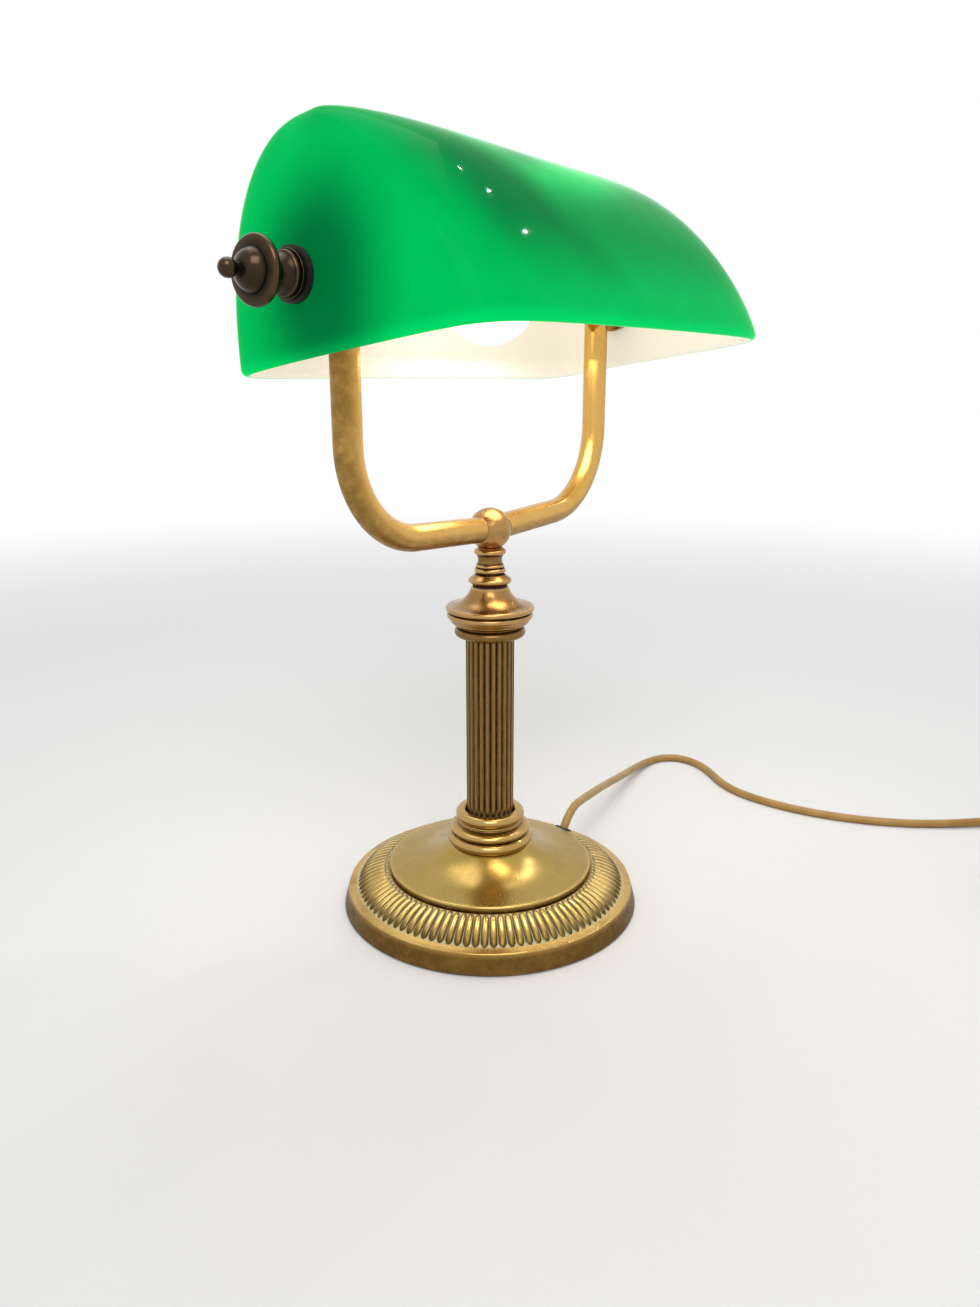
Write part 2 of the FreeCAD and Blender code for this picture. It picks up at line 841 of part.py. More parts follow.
def make_column():
    """Tube with a ring of reeds: one reed is padded and repeated."""
    body = new_body("column")
    core = book.column_radius - book.reed_depth
    tube = new_sketch(body, "XY_Plane")
    draw_circle(tube, core)
    draw_circle(tube, core - book.column_wall)
    add_pad(body, tube, book.column_length)
    reed = new_sketch(body, "XY_Plane")
    draw_circle(reed, book.reed_radius, book.column_radius - book.reed_radius)
    add_pattern(body, add_pad(body, reed, book.column_length), book.reed_count)
    bore = new_sketch(body, "XY_Plane")
    draw_circle(bore, core - book.column_wall)
    add_pocket(body, bore, book.column_length * 3)
    place(body, 0, 0, column_foot)
    publish(body, "column")


def make_capital_ring():
    """Ring that caps the column and centres the swept cap on a spigot."""
    low, top = column_head - book.ring_socket, ring_top
    outer, bead, first = book.ring_radius, book.ring_bead, low + book.turned_line
    socket = book.column_radius + book.socket_gap
    inner = book.spigot_radius - book.spigot_wall
    high = top + book.spigot_height
    body = turned("capital_ring", [
        (rod_hole, ring_foot), (socket, ring_foot), (socket, low), (outer - book.edge_break, low),
        (outer, first, bead * book.bead_share), (outer, first + bead), (outer + book.turned_step, top),
        (book.spigot_radius, top), (book.spigot_radius, high), (inner, high), (inner, top),
        (rod_hole, top)])
    publish(body, "capital_ring")


def make_capital_cap():
    """Swept cap with a broad double rim, hollow below for the nuts."""
    foot, outer, rim = ring_top, book.cap_foot_radius, book.cap_rim_radius
    room = book.spigot_radius + 0.2
    lower = foot + book.cap_rim_foot
    upper = lower + book.cap_rim_bead + 1.3
    bead, crown = book.cap_rim_bead, book.cap_crown_bead
    hole = book.swivel_shank + book.running_gap
    boss = cap_top - book.cap_boss
    body = turned("capital_cap", [
        (room, foot), (outer, foot), (outer + 0.3, foot + 0.6), (rim - 1.6, foot + 1.6),
        (rim - 1.1, foot + 2.6), (rim - 0.2, lower - 0.6), (rim, lower, bead * 0.67),
        (rim + 0.5, lower + bead), (rim - 0.1, upper - 0.7), (rim + 0.9, upper, crown * 0.6),
        (rim + 0.8, upper + crown, -book.cap_sweep), (book.cap_top_radius, cap_top - 0.3),
        (book.cap_top_radius, cap_top), (hole, cap_top), (hole, boss), (hole + 2.8, boss),
        (room, foot + book.cap_room)])
    publish(body, "capital_cap")


def make_rod():
    """Threaded tube from the weight to the cap, with its two nuts, washer and earth tag."""
    washer_top = book.felt_thickness + book.nut_recess_depth
    tag_top = washer_top - book.plate_thickness
    nut_top = tag_top - book.plate_thickness
    low = nut_top - book.rod_nut_height - book.rod_overhang
    high = ring_top + book.rod_nut_height + book.rod_overhang
    publish(lathe_ring("threaded_rod", book.rod_bore, book.rod_radius, low, high), "threaded_rod")
    bore = book.rod_radius + book.fit_gap
    nuts = []
    for height in (nut_top - book.rod_nut_height, ring_top):
        nut = hexagon_nut("rod_nut", book.rod_nut_width, book.rod_nut_height, bore)
        nuts.append(place(nut, 0, 0, height))
    publish(compound(*nuts), "rod_nuts")
    publish(lathe_ring("rod_washer", rod_hole, book.plate_radius, tag_top, washer_top), "rod_washer")
    tag = new_body("earth_tag")
    sketch = new_sketch(tag, "XY_Plane")
    draw_circle(sketch, book.plate_radius * 0.7)
    draw_circle(sketch, rod_hole)
    add_pad(tag, sketch, book.plate_thickness)
    tongue = new_sketch(tag, "XY_Plane")
    draw_rectangle(tongue, (-book.nut_recess_radius + 0.6, -2), (-rod_hole - 1, 2))
    add_pad(tag, tongue, book.plate_thickness)
    publish(place(tag, 0, 0, nut_top), "earth_tag")


def make_swivel():
    """Fibre washer under the neck, spring washer and nut below the cap's boss."""
    hole = book.swivel_shank + book.running_gap
    boss = cap_top - book.cap_boss
    fibre = lathe_ring("swivel_washer", hole, book.swivel_washer_radius, cap_top,
                       cap_top + book.swivel_washer_height)
    publish(fibre, "swivel_washer")
    top = boss - book.running_gap
    nut_top = top - book.spring_washer_height
    spring = lathe_ring("spring_washer", hole, book.swivel_washer_radius - 0.4, nut_top, top)
    publish(spring, "spring_washer")
    nut = hexagon_nut("swivel_nut", book.swivel_nut_width, book.rod_nut_height,
                      book.swivel_shank + book.fit_gap)
    publish(place(nut, 0, 0, nut_top - book.rod_nut_height), "swivel_nut")
    return nut_top - book.rod_nut_height - book.shank_overhang


# ---------------------------------------------------------------- yoke


def make_neck(shank_foot):
    """Turned neck: shank through the cap, flared ring, two small rings, waist and cup lip."""
    foot, top = neck_foot, ball_foot
    share = book.bead_share
    flare = foot + book.neck_flare_foot
    ring = foot + book.neck_flare_height
    small = ring + book.neck_ring_bead + 0.3
    waist = small + book.neck_small_bead
    lip = waist + book.neck_waist_height
    ring_radius, lip_radius = book.neck_ring_radius, book.neck_lip_radius
    socket = book.ball_nipple_radius + book.fit_gap
    depth = top - book.ball_nipple_depth * 1.9
    body = turned("neck", [
        (book.neck_bore, shank_foot), (book.swivel_shank, shank_foot), (book.swivel_shank, foot),
        (book.neck_foot_radius, foot), (book.neck_flare_radius, flare, book.neck_flare_bead * 0.6),
        (book.neck_flare_radius - 0.2, flare + book.neck_flare_bead), (ring_radius + 0.4, ring - 0.8),
        (ring_radius - 0.2, ring - 0.2), (ring_radius, ring, book.neck_ring_bead * share),
        (ring_radius, ring + book.neck_ring_bead), (ring_radius - 0.5, small, book.neck_small_bead * share),
        (ring_radius - 0.6, waist, -book.neck_waist_sweep), (lip_radius, lip, book.neck_lip_bead * share),
        (lip_radius + 0.3, lip + book.neck_lip_bead), (lip_radius - 0.8, top),
        (socket, top), (socket, depth), (book.neck_bore, depth)])
    publish(body, "neck")


def make_ball():
    """Ball at the fork, with a bore from below and a sloping socket for each arm."""
    radius, drop = book.ball_radius, book.ball_drop
    flat = root(radius * radius - drop * drop)
    bore = book.ball_nipple_radius + book.fit_gap
    step = -drop + book.ball_nipple_depth + 0.1
    passage = book.neck_bore
    body = turned("yoke_ball", [
        (bore, -drop), (flat, -drop, radius), (0, radius), (0, passage), (passage, passage),
        (passage, step), (bore, step)])
    for side in (1, -1):
        # a socket is a groove about the arm's own sloping centre line
        slope = SIZES["arm_rise"] if side > 0 else 180 - SIZES["arm_rise"]
        sketch = new_sketch(body, "XZ_Plane", FreeCAD.Placement(Vector(), Rotation(Z_AXIS, slope)))
        draw_rectangle(sketch, (book.arm_socket, 0), (radius * 1.5, book.arm_radius + book.fit_gap))
        groove = body.newObject("PartDesign::Groove", "socket")
        groove.Profile = sketch
        groove.ReferenceAxis = (sketch, ["H_Axis"])
        groove.Angle = 360
    way = new_sketch(body, "YZ_Plane")
    draw_circle(way, passage)
    add_pocket(body, way, book.arm_socket * 2 + 2)
    publish(place(body, 0, 0, ball_height), "yoke_ball")
    nipple = lathe_ring("ball_nipple", book.ball_nipple_bore, book.ball_nipple_radius,
                        ball_foot - book.ball_nipple_depth * 1.8, ball_foot + book.ball_nipple_depth)
    publish(nipple, "ball_nipple")


def make_arms():
    """Bent tubes: a ring swept along a line, a bend and a line."""
    rise = book.arm_rise
    reach, bend = arm_half_span, book.arm_bend
    for name in ("arm_right", "arm_left"):
        body = new_body(name)
        spine = new_sketch(body, "XZ_Plane")
        start = book.arm_socket + book.loose_gap
        corner_height = reach * tangent(rise)
        trim = bend * tangent((90 - rise) / 2)
        first = Vector((start * cosine(rise)).value, (start * sine(rise)).value, 0)
        enter = Vector((reach - trim * cosine(rise)).value, (corner_height - trim * sine(rise)).value, 0)
        leave = Vector(reach.value, (corner_height + trim).value, 0)
        last = Vector(reach.value, SIZES["arm_top"], 0)
        spine.addGeometry(Part.LineSegment(first, enter))
        centre = Vector(reach.value - bend.value, leave.y, 0)
        turn = math.radians(90 - rise.value)
        spine.addGeometry(Part.ArcOfCircle(Part.Circle(centre, Z_AXIS, bend.value), -turn, 0))
        spine.addGeometry(Part.LineSegment(leave, last))
        for index in (0, 1):
            spine.addConstraint(Sketcher.Constraint("Tangent", index, 2, index + 1, 1))
        dimension(spine, "DistanceX", -1, 1, 0, 1, start * cosine(rise))
        dimension(spine, "DistanceY", -1, 1, 0, 1, start * sine(rise))
        dimension(spine, "DistanceX", -1, 1, 2, 2, reach)
        dimension(spine, "DistanceY", -1, 1, 2, 2, book.arm_top)
        dimension(spine, "Radius", 1, bend)
        spine.addConstraint(Sketcher.Constraint("Vertical", 2))
        tilt = FreeCAD.Placement(Vector(0, first.y, first.x), Rotation(X_AXIS, -rise.value))
        ring = new_sketch(body, "YZ_Plane", tilt)
        draw_circle(ring, book.arm_radius)
        draw_circle(ring, book.arm_radius - book.arm_wall)
        pipe = body.newObject("PartDesign::AdditivePipe", f"{name}_pipe")
        pipe.Profile, pipe.Spine = ring, spine
        turned_round = Rotation(Z_AXIS, 180) if name == "arm_left" else Rotation()
        publish(place(body, 0, 0, ball_height, turned_round), name)


def make_arm_heads():
    """Cross heads: a barrel on the pivot axis over a shoulder and a spigot in the arm's end."""
    barrel = book.head_radius
    below = book.pivot_above_arm
    for name, side in (("arm_head_right", 1), ("arm_head_left", -1)):
        body = new_body(name)
        across = new_sketch(body, "YZ_Plane", FreeCAD.Placement(
            Vector(0, 0, -SIZES["head_inner_length"]), Rotation()))
        draw_circle(across, barrel)
        add_pad(body, across, head_outer - head_inner)
        stem = new_sketch(body, "XZ_Plane")
        spigot = book.arm_radius - book.arm_wall - book.fit_gap * 2
        low = -below - book.spigot_depth
        draw_outline(stem, [
            (0, low), (spigot - 0.6, low), (spigot, low + 0.6), (spigot, -below), (book.arm_radius, -below),
            (book.arm_radius, -barrel * 0.5), (0, -barrel * 0.5)])
        turning = body.newObject("PartDesign::Revolution", "stem")
        turning.Profile = stem
        turning.ReferenceAxis = (stem, ["V_Axis"])
        turning.Angle = 360
        bore = new_sketch(body, "YZ_Plane")
        draw_circle(bore, book.nipple_radius + book.fit_gap)
        add_pocket(body, bore, (head_outer - head_inner) * 3)
        way = new_sketch(body, "XY_Plane", FreeCAD.Placement(Vector(0, 0, low.value), Rotation()))
        draw_circle(way, book.lead_hole)
        add_pocket(body, way, (book.spigot_depth + below) * 2)
        turned_round = Rotation(Z_AXIS, 180) if side < 0 else Rotation()
        publish(place(body, arm_half_span * side, 0, pivot_height, turned_round), name)


def make_pivot_pieces():
    """Threaded nipples with their lock nuts, clamp plates and the blank nut on the right."""
    bore = book.nipple_radius + book.fit_gap
    right = on_pivot(lathe_ring("nipple", book.nipple_bore, book.nipple_radius, nipple_inner, nipple_outer))
    left = mirrored(right)
    way = cylinder(book.nipple_side_hole, book.nipple_radius * 2, -arm_half_span, 0,
                   pivot_height - book.nipple_radius * 2)
    publish(compound(right, cut(left, way)), "pivot_nipples")
    nut = hexagon_nut("lock_nut", book.lock_nut_width, book.lock_nut_height, bore)
    publish(both_sides(on_pivot(nut, head_outer)), "lock_nuts")
    plate = lathe_ring("clamp_plate", bore, book.clamp_plate_radius, plate_inner, plate_outer)
    publish(both_sides(on_pivot(plate)), "clamp_plates")
    wall, outer, corner = book.blank_nut_wall, book.head_radius - book.edge_break, book.blank_nut_corner
    end = head_inner - book.blank_nut_length
    cap = turned("blank_nut", [
        (0, end), (outer - corner, end, corner), (outer, end + corner), (outer, head_inner),
        (bore, head_inner), (bore, end + wall), (0, end + wall)])
    publish(on_pivot(cap), "blank_nut")


def make_lampholder():
    """Bayonet lampholder on the left nipple, with its insert, shade ring, plungers and switch bar."""
    gap, wall = book.running_gap, book.holder_wall
    thread = book.nipple_radius + book.fit_gap
    outer, neck = book.holder_cap_radius, book.holder_cap_neck
    end = book.holder_cap_length
    barrel = book.holder_barrel_radius
    inner = barrel - book.holder_barrel_wall
    cap = turned("lampholder_cap", [
        (thread, 0), (neck, 0), (neck, 5, -4), (neck + 3, 8.5), (outer - 2, 10, 2.2), (outer, 12),
        (outer, end), (outer - wall / 2, end), (outer - wall / 2, 12.6), (neck + 1, 9.6), (thread, 7.5)])
    lamp = [(cap, "lampholder_cap")]
    sleeve = turned("lampholder_barrel", [
        (inner, end - 4), (barrel - 0.4, end - 4), (barrel - 0.4, end + gap), (barrel, end + gap),
        (barrel, book.holder_barrel_end), (inner, book.holder_barrel_end)])
    slots = []
    length = book.holder_barrel_end - book.bayonet_place + 2
    slots.append(box(book.bayonet_slot, barrel * 3, length, 0, 0, book.bayonet_place - 2))
    way = book.switch_bar_radius + gap
    slots.append(cylinder(way, barrel * 4, 0, barrel * 2, book.switch_bar_place, Rotation(X_AXIS, 90)))
    lamp.append((cut(sleeve, *slots), "lampholder_barrel"))
    ring_end = book.holder_ring_place + book.holder_ring_length
    ring_inner = barrel + gap
    ring = turned("lampholder_ring", [
        (ring_inner, book.holder_ring_place), (book.holder_ring_radius, book.holder_ring_place),
        (book.holder_ring_radius, ring_end - 1), (book.holder_ring_radius - 1, ring_end),
        (ring_inner, ring_end)])
    lamp.append((ring, "lampholder_ring"))
    insert = turned("lampholder_insert", [
        (0, book.insert_start), (inner - gap, book.insert_start), (inner - gap, book.insert_end),
        (0, book.insert_end)])
    tools = [cylinder(way, barrel * 4, 0, barrel * 2, book.switch_bar_place, Rotation(X_AXIS, 90))]
    plungers = []
    for side in (1, -1):
        seat = book.insert_end - 4
        across = book.plunger_spread * side
        tools.append(cylinder(book.plunger_radius + book.fit_gap, 6, across, 0, seat))
        plungers.append(cylinder(book.plunger_radius, book.plunger_length + 4, across, 0, seat))
    lamp.append((cut(insert, *tools), "lampholder_insert"))
    lamp.append((compound(*plungers), "lampholder_plungers"))
    half = book.switch_bar_length / 2
    button = book.switch_bar_radius + 0.8
    bar = turned("switch_bar", [
        (0, -half), (button, -half), (button, -half + 3), (book.switch_bar_radius, -half + 3),
        (book.switch_bar_radius, half - 3), (button, half - 3), (button, half), (0, half)])
    place(bar, 0, book.switch_travel / 2, book.switch_bar_place, Rotation(X_AXIS, 90))
    lamp.append((compound(bar), "switch_bar"))
    cap_foot = book.insert_end + book.plunger_length + gap
    cap_end = cap_foot + book.bulb_cap_length
    radius = book.bulb_cap_radius
    sleeve = turned("bulb_cap", [
        (0, cap_foot), (radius - 2, cap_foot), (radius, cap_foot + 2), (radius, cap_end),
        (radius - book.bulb_cap_wall, cap_end), (radius - book.bulb_cap_wall, cap_foot + 4),
        (0, cap_foot + 4)])
    pins = cylinder(book.bayonet_pin, (radius + 2) * 2, 0, radius + 2, book.bayonet_place,
                    Rotation(X_AXIS, 90))
    bore = radius - book.bulb_cap_wall
    room = cylinder(bore, bore * 2, 0, bore, book.bayonet_place, Rotation(X_AXIS, 90))
    lamp.append((fused(sleeve, cut(pins, room)), "bulb_cap"))
    glass, globe, centre = book.bulb_glass, book.bulb_radius, book.bulb_centre
    stem = radius - book.bulb_cap_wall - gap
    lean, hollow = book.bulb_shoulder, globe - glass
    bulb = turned("bulb_glass", [
        (stem - glass, cap_foot + 6), (stem, cap_foot + 6), (stem, cap_end + 1),
        (globe * sine(lean), centre - globe * cosine(lean), globe), (0, centre + globe),
        (0, centre + hollow, -hollow), (hollow * sine(lean), centre - hollow * cosine(lean)),
        (stem - glass, cap_end + 1.5)])
    lamp.append((bulb, "bulb_glass"))
    for item, label in lamp:
        publish(place(item, -head_inner, 0, pivot_height, Rotation(Y_AXIS, 90)), label)


# ---------------------------------------------------------------- shade


SECTION_POINTS = 48
SECTION_ANGLES = (0, 16, 32, 47, 61, 74, 90)  # heights of the loft's sections, as on a quarter circle
SECTION_TOP = 0.995  # share of the height at the last section, where the roof starts
PATCH_MARKS = (0, 0.06, 0.19, 0.31, 0.44, 0.5, 0.56, 0.69, 0.81, 0.94, 1)  # round the shade, front first
PATCH_LEVELS = (0, 0.5, 0.8, 1)  # up the shade


def shade_section(share, wall):
    """One level section of the shade: a rounded oblong, longer at the front than at the back."""
    front = (SIZES["shade_front"] - wall) * (1 - share ** 1.4) ** (1 / 2.1)
    back = (SIZES["shade_back"] - wall) * (1 - share ** 2.9) ** 0.25
    reach = shade_reach(share) - wall
    power = 9 - 5 * share
    level = (SIZES["shade_height"] - wall) * share - SIZES["shade_drop"]
    points = []
    for step in range(SECTION_POINTS):
        angle = 2 * math.pi * step / SECTION_POINTS
        across, along = math.cos(angle), math.sin(angle)
        scale = (abs(across) ** power + abs(along) ** power) ** (-1 / power)
        depth = (front if along > 0 else back) * along * scale
        # the roof dips a little between its two ends
        sag = SIZES["shade_saddle"] * share ** 2 * (1 - (across * scale) ** 2) * SIZES["shade_height"]
        points.append(Vector(reach * across * scale, -depth, level - sag))
    curve = Part.BSplineCurve()
    shares = [step / SECTION_POINTS for step in range(SECTION_POINTS + 1)]
    curve.interpolate(Points=points, PeriodicFlag=True, Parameters=shares)
    return Part.Wire(curve.toShape())


def shade_solid(wall):
    """The solid inside the shade's outer face, or inside its inner face where a wall is given.

    The side is one smooth loft, divided into patches that each mesh closely. The roof is a strip of
    ruled faces from each front patch to the back patch behind it.
    """
    shares = [SECTION_TOP * math.sin(math.radians(angle)) for angle in SECTION_ANGLES]
    sections = [shade_section(share, wall) for share in shares]
    side = Part.makeLoft(sections, False, False).Faces[0].Surface
    first, last, low, high = side.bounds()
    marks = [first + (last - first) * mark for mark in PATCH_MARKS]
    levels = [low + (high - low) * level for level in PATCH_LEVELS]
    faces = [Part.Face(sections[0])]
    for start, end in zip(marks, marks[1:]):
        for under, over in zip(levels, levels[1:]):
            patch = side.copy()
            patch.segment(start, end, under, over)
            faces.append(patch.toShape())
    edge = side.vIso(high)
    runs = [edge.toShape(start, end) for start, end in zip(marks, marks[1:])]
    for front, back in zip(runs[:len(runs) // 2], reversed(runs)):
        faces.append(Part.makeRuledSurface(front, back))
    shell = Part.makeShell(faces)
    shell.sewShape()
    solid = Part.makeSolid(shell)
    if solid.Volume < 0:
        solid.reverse()
    return solid


def make_shade():
    """Cased glass shade: one lofted wall with a flat seat and a hole at each end of the pivot."""
    wall = SIZES["shade_wall"]
    shape = shade_solid(0).cut(shade_solid(wall))
    for side in (1, -1):
        # the seat is ground flat on both faces
        outside, inside, out = seat_face.value * side, glass_inner.value * side, X_AXIS * side
        radius, thickness = SIZES["seat_radius"], SIZES["seat_thickness"]
        boss = Part.makeCylinder(radius, thickness, Vector(inside, 0, 0), out)
        ground = Part.makeCylinder(radius, thickness, Vector(outside, 0, 0), out)
        ground_inside = Part.makeCylinder(radius, thickness, Vector(inside, 0, 0), -out)
        shape = shape.fuse(boss).cut(ground).cut(ground_inside)
    reach = SIZES["shade_half_length"] * 2
    radius = SIZES["nipple_radius"] + SIZES["shade_hole_gap"]
    shape = shape.cut(Part.makeCylinder(radius, reach * 2, Vector(-reach, 0, 0), X_AXIS))
    tilt = Rotation(X_AXIS, -SIZES["shade_tilt"])
    publish(place(solid_feature(shape, "shade_glass"), 0, 0, pivot_height, tilt), "shade_glass")
    gap = book.nipple_radius + book.loose_gap
    inner = lathe_ring("inner_washer", gap, book.inner_washer_radius,
                       glass_inner - book.inner_washer_thickness, glass_inner)
    publish(both_sides(on_pivot(inner)), "inner_washers")
    outer = lathe_ring("outer_washer", gap, book.outer_washer_radius, seat_face, washer_face)
    publish(both_sides(on_pivot(outer)), "outer_washers")


def make_finials():
    """Screw knobs outside the glass: flange, bead, waist, disc, domed boss, neck and tip ball."""
    foot, flange = finial_foot, book.finial_flange
    bead = foot + book.finial_flange_height
    bead_top = bead + book.finial_bead_height
    waist = foot + book.finial_waist_place
    disc = foot + book.finial_disc_place
    disc_top = disc + book.finial_disc_height
    neck, tip = foot + book.finial_neck_place, foot + book.finial_tip_place
    radius, stem, step = book.finial_disc, book.finial_neck, book.edge_break
    ball = book.finial_tip
    ball_foot = tip - root(ball * ball - stem * stem)
    bore = book.nipple_radius + book.fit_gap
    bored = nipple_outer + 1
    for name, left in (("finial_right", False), ("finial_left", True)):
        body = turned(name, [
            (bore, foot), (flange, foot), (flange, bead),
            (book.finial_bead, bead, book.finial_bead_height * 0.6),
            (book.finial_bead - step, bead_top, -book.finial_hollow), (book.finial_waist, waist),
            (book.finial_waist, waist + 1, -book.finial_flare), (radius * 0.8, disc - step),
            (radius, disc, book.finial_disc_height * 0.6), (radius - step / 2, disc_top),
            (book.finial_boss, disc_top + step, book.finial_hollow), (stem, neck),
            (stem, ball_foot, ball), (0, tip + ball), (0, bored), (bore, bored)])
        publish(on_pivot(body, 0, left), name)


# ---------------------------------------------------------------- leads and flex


def make_leads(yoke_lead_foot):
    """Inner leads: through the base and up the rod, then up the neck and the left arm."""
    point, normal = exit_frame()
    depth = (point.z - 4) / normal.z
    corner = point - normal * depth
    top = yoke_lead_foot.value - SIZES["loose_gap"]
    route = [point + normal, corner, Vector(0, 0, 4), Vector(0, 0, top)]
    publish(round_sweep("base_lead", route, [9, 5], SIZES["lead_diameter"]), "base_lead")
    fork = Vector(0, 0, ball_height.value)
    reach = arm_half_span.value
    bend = fork + Vector(-reach, 0, reach * math.tan(math.radians(SIZES["arm_rise"])))
    head = Vector(-reach, 0, pivot_height.value)
    end = Vector(-head_inner.value + 12, 0, pivot_height.value)
    route = [Vector(0, 0, yoke_lead_foot.value), fork, bend, head, end]
    radii = [6, SIZES["arm_bend"], 6]
    publish(round_sweep("yoke_lead", route, radii, SIZES["lead_diameter"]), "yoke_lead")


# The flex's route on the table, laid for a base whose flex leaves at this radius. Coil and plug lie
# beside the run, and all of it moves out or in with the base's edge.
ROUTE_EXIT_RADIUS = 61.0
ROUTE_SHIFT = Vector(exit_radius.value - ROUTE_EXIT_RADIUS, 0, 0)
COIL_CENTRE = Vector(256, -253.5, 0) + ROUTE_SHIFT
PLUG_PLACE = Vector(192, -273, 0) + ROUTE_SHIFT
PLUG_TURN = 168
CORD_ROUTE = [
    (68.6, -9, 26.2), (77, -7.2, 28), (89, -5, 26.6), (109, -0.8, 23.2),
    (137, 5.4, 17.8), (170, 12, 11), (203, 18.2, 5.2), (227, 19.4, 2.5), (239.6, 13.4, 2.5),
    (245.2, 2.6, 2.5), (243.6, -9.6, 2.5), (238, -20.2, 2.5), (229, -30.6, 2.5), (218.6, -42, 2.5),
    (210.4, -57.4, 2.5), (206.4, -78, 2.5), (206.8, -104, 2.5), (212.4, -130, 2.5),
    (222.6, -155.4, 2.5), (236, -177, 2.5), (249.5, -194.5, 3.2)]


def coil_tangent(angle, away):
    """A point beside the coil's middle line: from an angle on it, a distance anticlockwise."""
    turn = math.radians(angle)
    outward = Vector(math.cos(turn), math.sin(turn), 0)
    along = Vector(-math.sin(turn), math.cos(turn), 0)
    height = SIZES["tie_wall"] + SIZES["loose_gap"] + SIZES["coil_height"] / 2
    return COIL_CENTRE + outward * SIZES["coil_radius"] + along * away + Vector(0, 0, height)


def make_coil():
    """The coiled flex as one ring with a socket at each end, and the tie round it."""
    foot = book.tie_wall + book.loose_gap
    half, corner = book.coil_width / 2, book.coil_corner
    inner, outer = book.coil_radius - half, book.coil_radius + half
    top = foot + book.coil_height
    ring = turned("cord_coil", [
        (inner + corner, foot), (outer - corner, foot, corner), (outer, foot + corner),
        (outer, top - corner, corner), (outer - corner, top), (inner + corner, top, corner),
        (inner, top - corner), (inner, foot + corner, corner)])
    place(ring, COIL_CENTRE.x, COIL_CENTRE.y)
    sockets = []
    ends = (SIZES["coil_socket"], SIZES["coil_radius"] * 2)
    for angle, way in ((SIZES["coil_entry_angle"], 1), (SIZES["coil_leave_angle"], -1)):
        start, end = (coil_tangent(angle, way * away) for away in ends)
        socket = cylinder(book.flex_diameter / 2 + book.running_gap, book.coil_width * 2)
        socket.Placement = FreeCAD.Placement(start, Rotation(Z_AXIS, end - start))
        sockets.append(socket)
    publish(cut(ring, *sockets), "cord_coil")
    grown = book.tie_wall + book.loose_gap
    band = box(book.coil_width + grown * 2, book.tie_width, book.coil_height + grown * 2)
    room = box(book.coil_width + book.loose_gap * 2, book.tie_width * 2,
               book.coil_height + book.loose_gap * 2, 0, 0, book.tie_wall)
    tie = cut(band, room)
    angle = SIZES["tie_angle"]
    middle = coil_tangent(angle, 0)
    tie.Placement = FreeCAD.Placement(Vector(middle.x, middle.y, 0), Rotation(Z_AXIS, angle))
    publish(tie, "coil_tie")


def make_flex():
    """Round flex on the table: the run from the grommet to the coil, and the tail to the plug."""
    point, normal = exit_frame()
    flex, socket = SIZES["flex_diameter"], SIZES["coil_socket"]
    entry, leave = SIZES["coil_entry_angle"], SIZES["coil_leave_angle"]
    route = [point + normal, point + normal * SIZES["exit_rise"]]
    route += [Vector(*spot) + ROUTE_SHIFT for spot in CORD_ROUTE]
    route += [coil_tangent(entry, socket + SIZES["coil_lead_in"]), coil_tangent(entry, socket)]
    plug_way = Vector(math.cos(math.radians(PLUG_TURN)), math.sin(math.radians(PLUG_TURN)), 0)
    mouth = PLUG_PLACE + Vector(0, 0, SIZES["plug_flex_height"])
    tail = [coil_tangent(leave, -socket), coil_tangent(leave, -socket - SIZES["coil_lead_out"]),
            mouth - plug_way * SIZES["plug_lead_in"], mouth + plug_way * SIZES["plug_flex_depth"]]
    for name, points in (("cord", route), ("cord_tail", tail)):
        radii = easy_radii(points)
        print(name, "arc radii", [round(radius, 1) for radius in radii])
        publish(round_sweep(name, points, radii, flex), name)


# ---------------------------------------------------------------- plug


def plug_outline(inset):
    """Outline of the plug from the flex's side to the earth pin's side, drawn in by an inset."""
    half, nose = book.plug_width / 2 - inset, book.plug_nose / 2 - inset
    end, corner = book.plug_length - inset, book.plug_corner
    shoulder = book.plug_shoulder
    return [
        (inset, -nose), (shoulder, -half), (end - corner, -half, corner), (end, corner - half),
        (end, half - corner, corner), (end - corner, half), (shoulder, half), (inset, nose)]


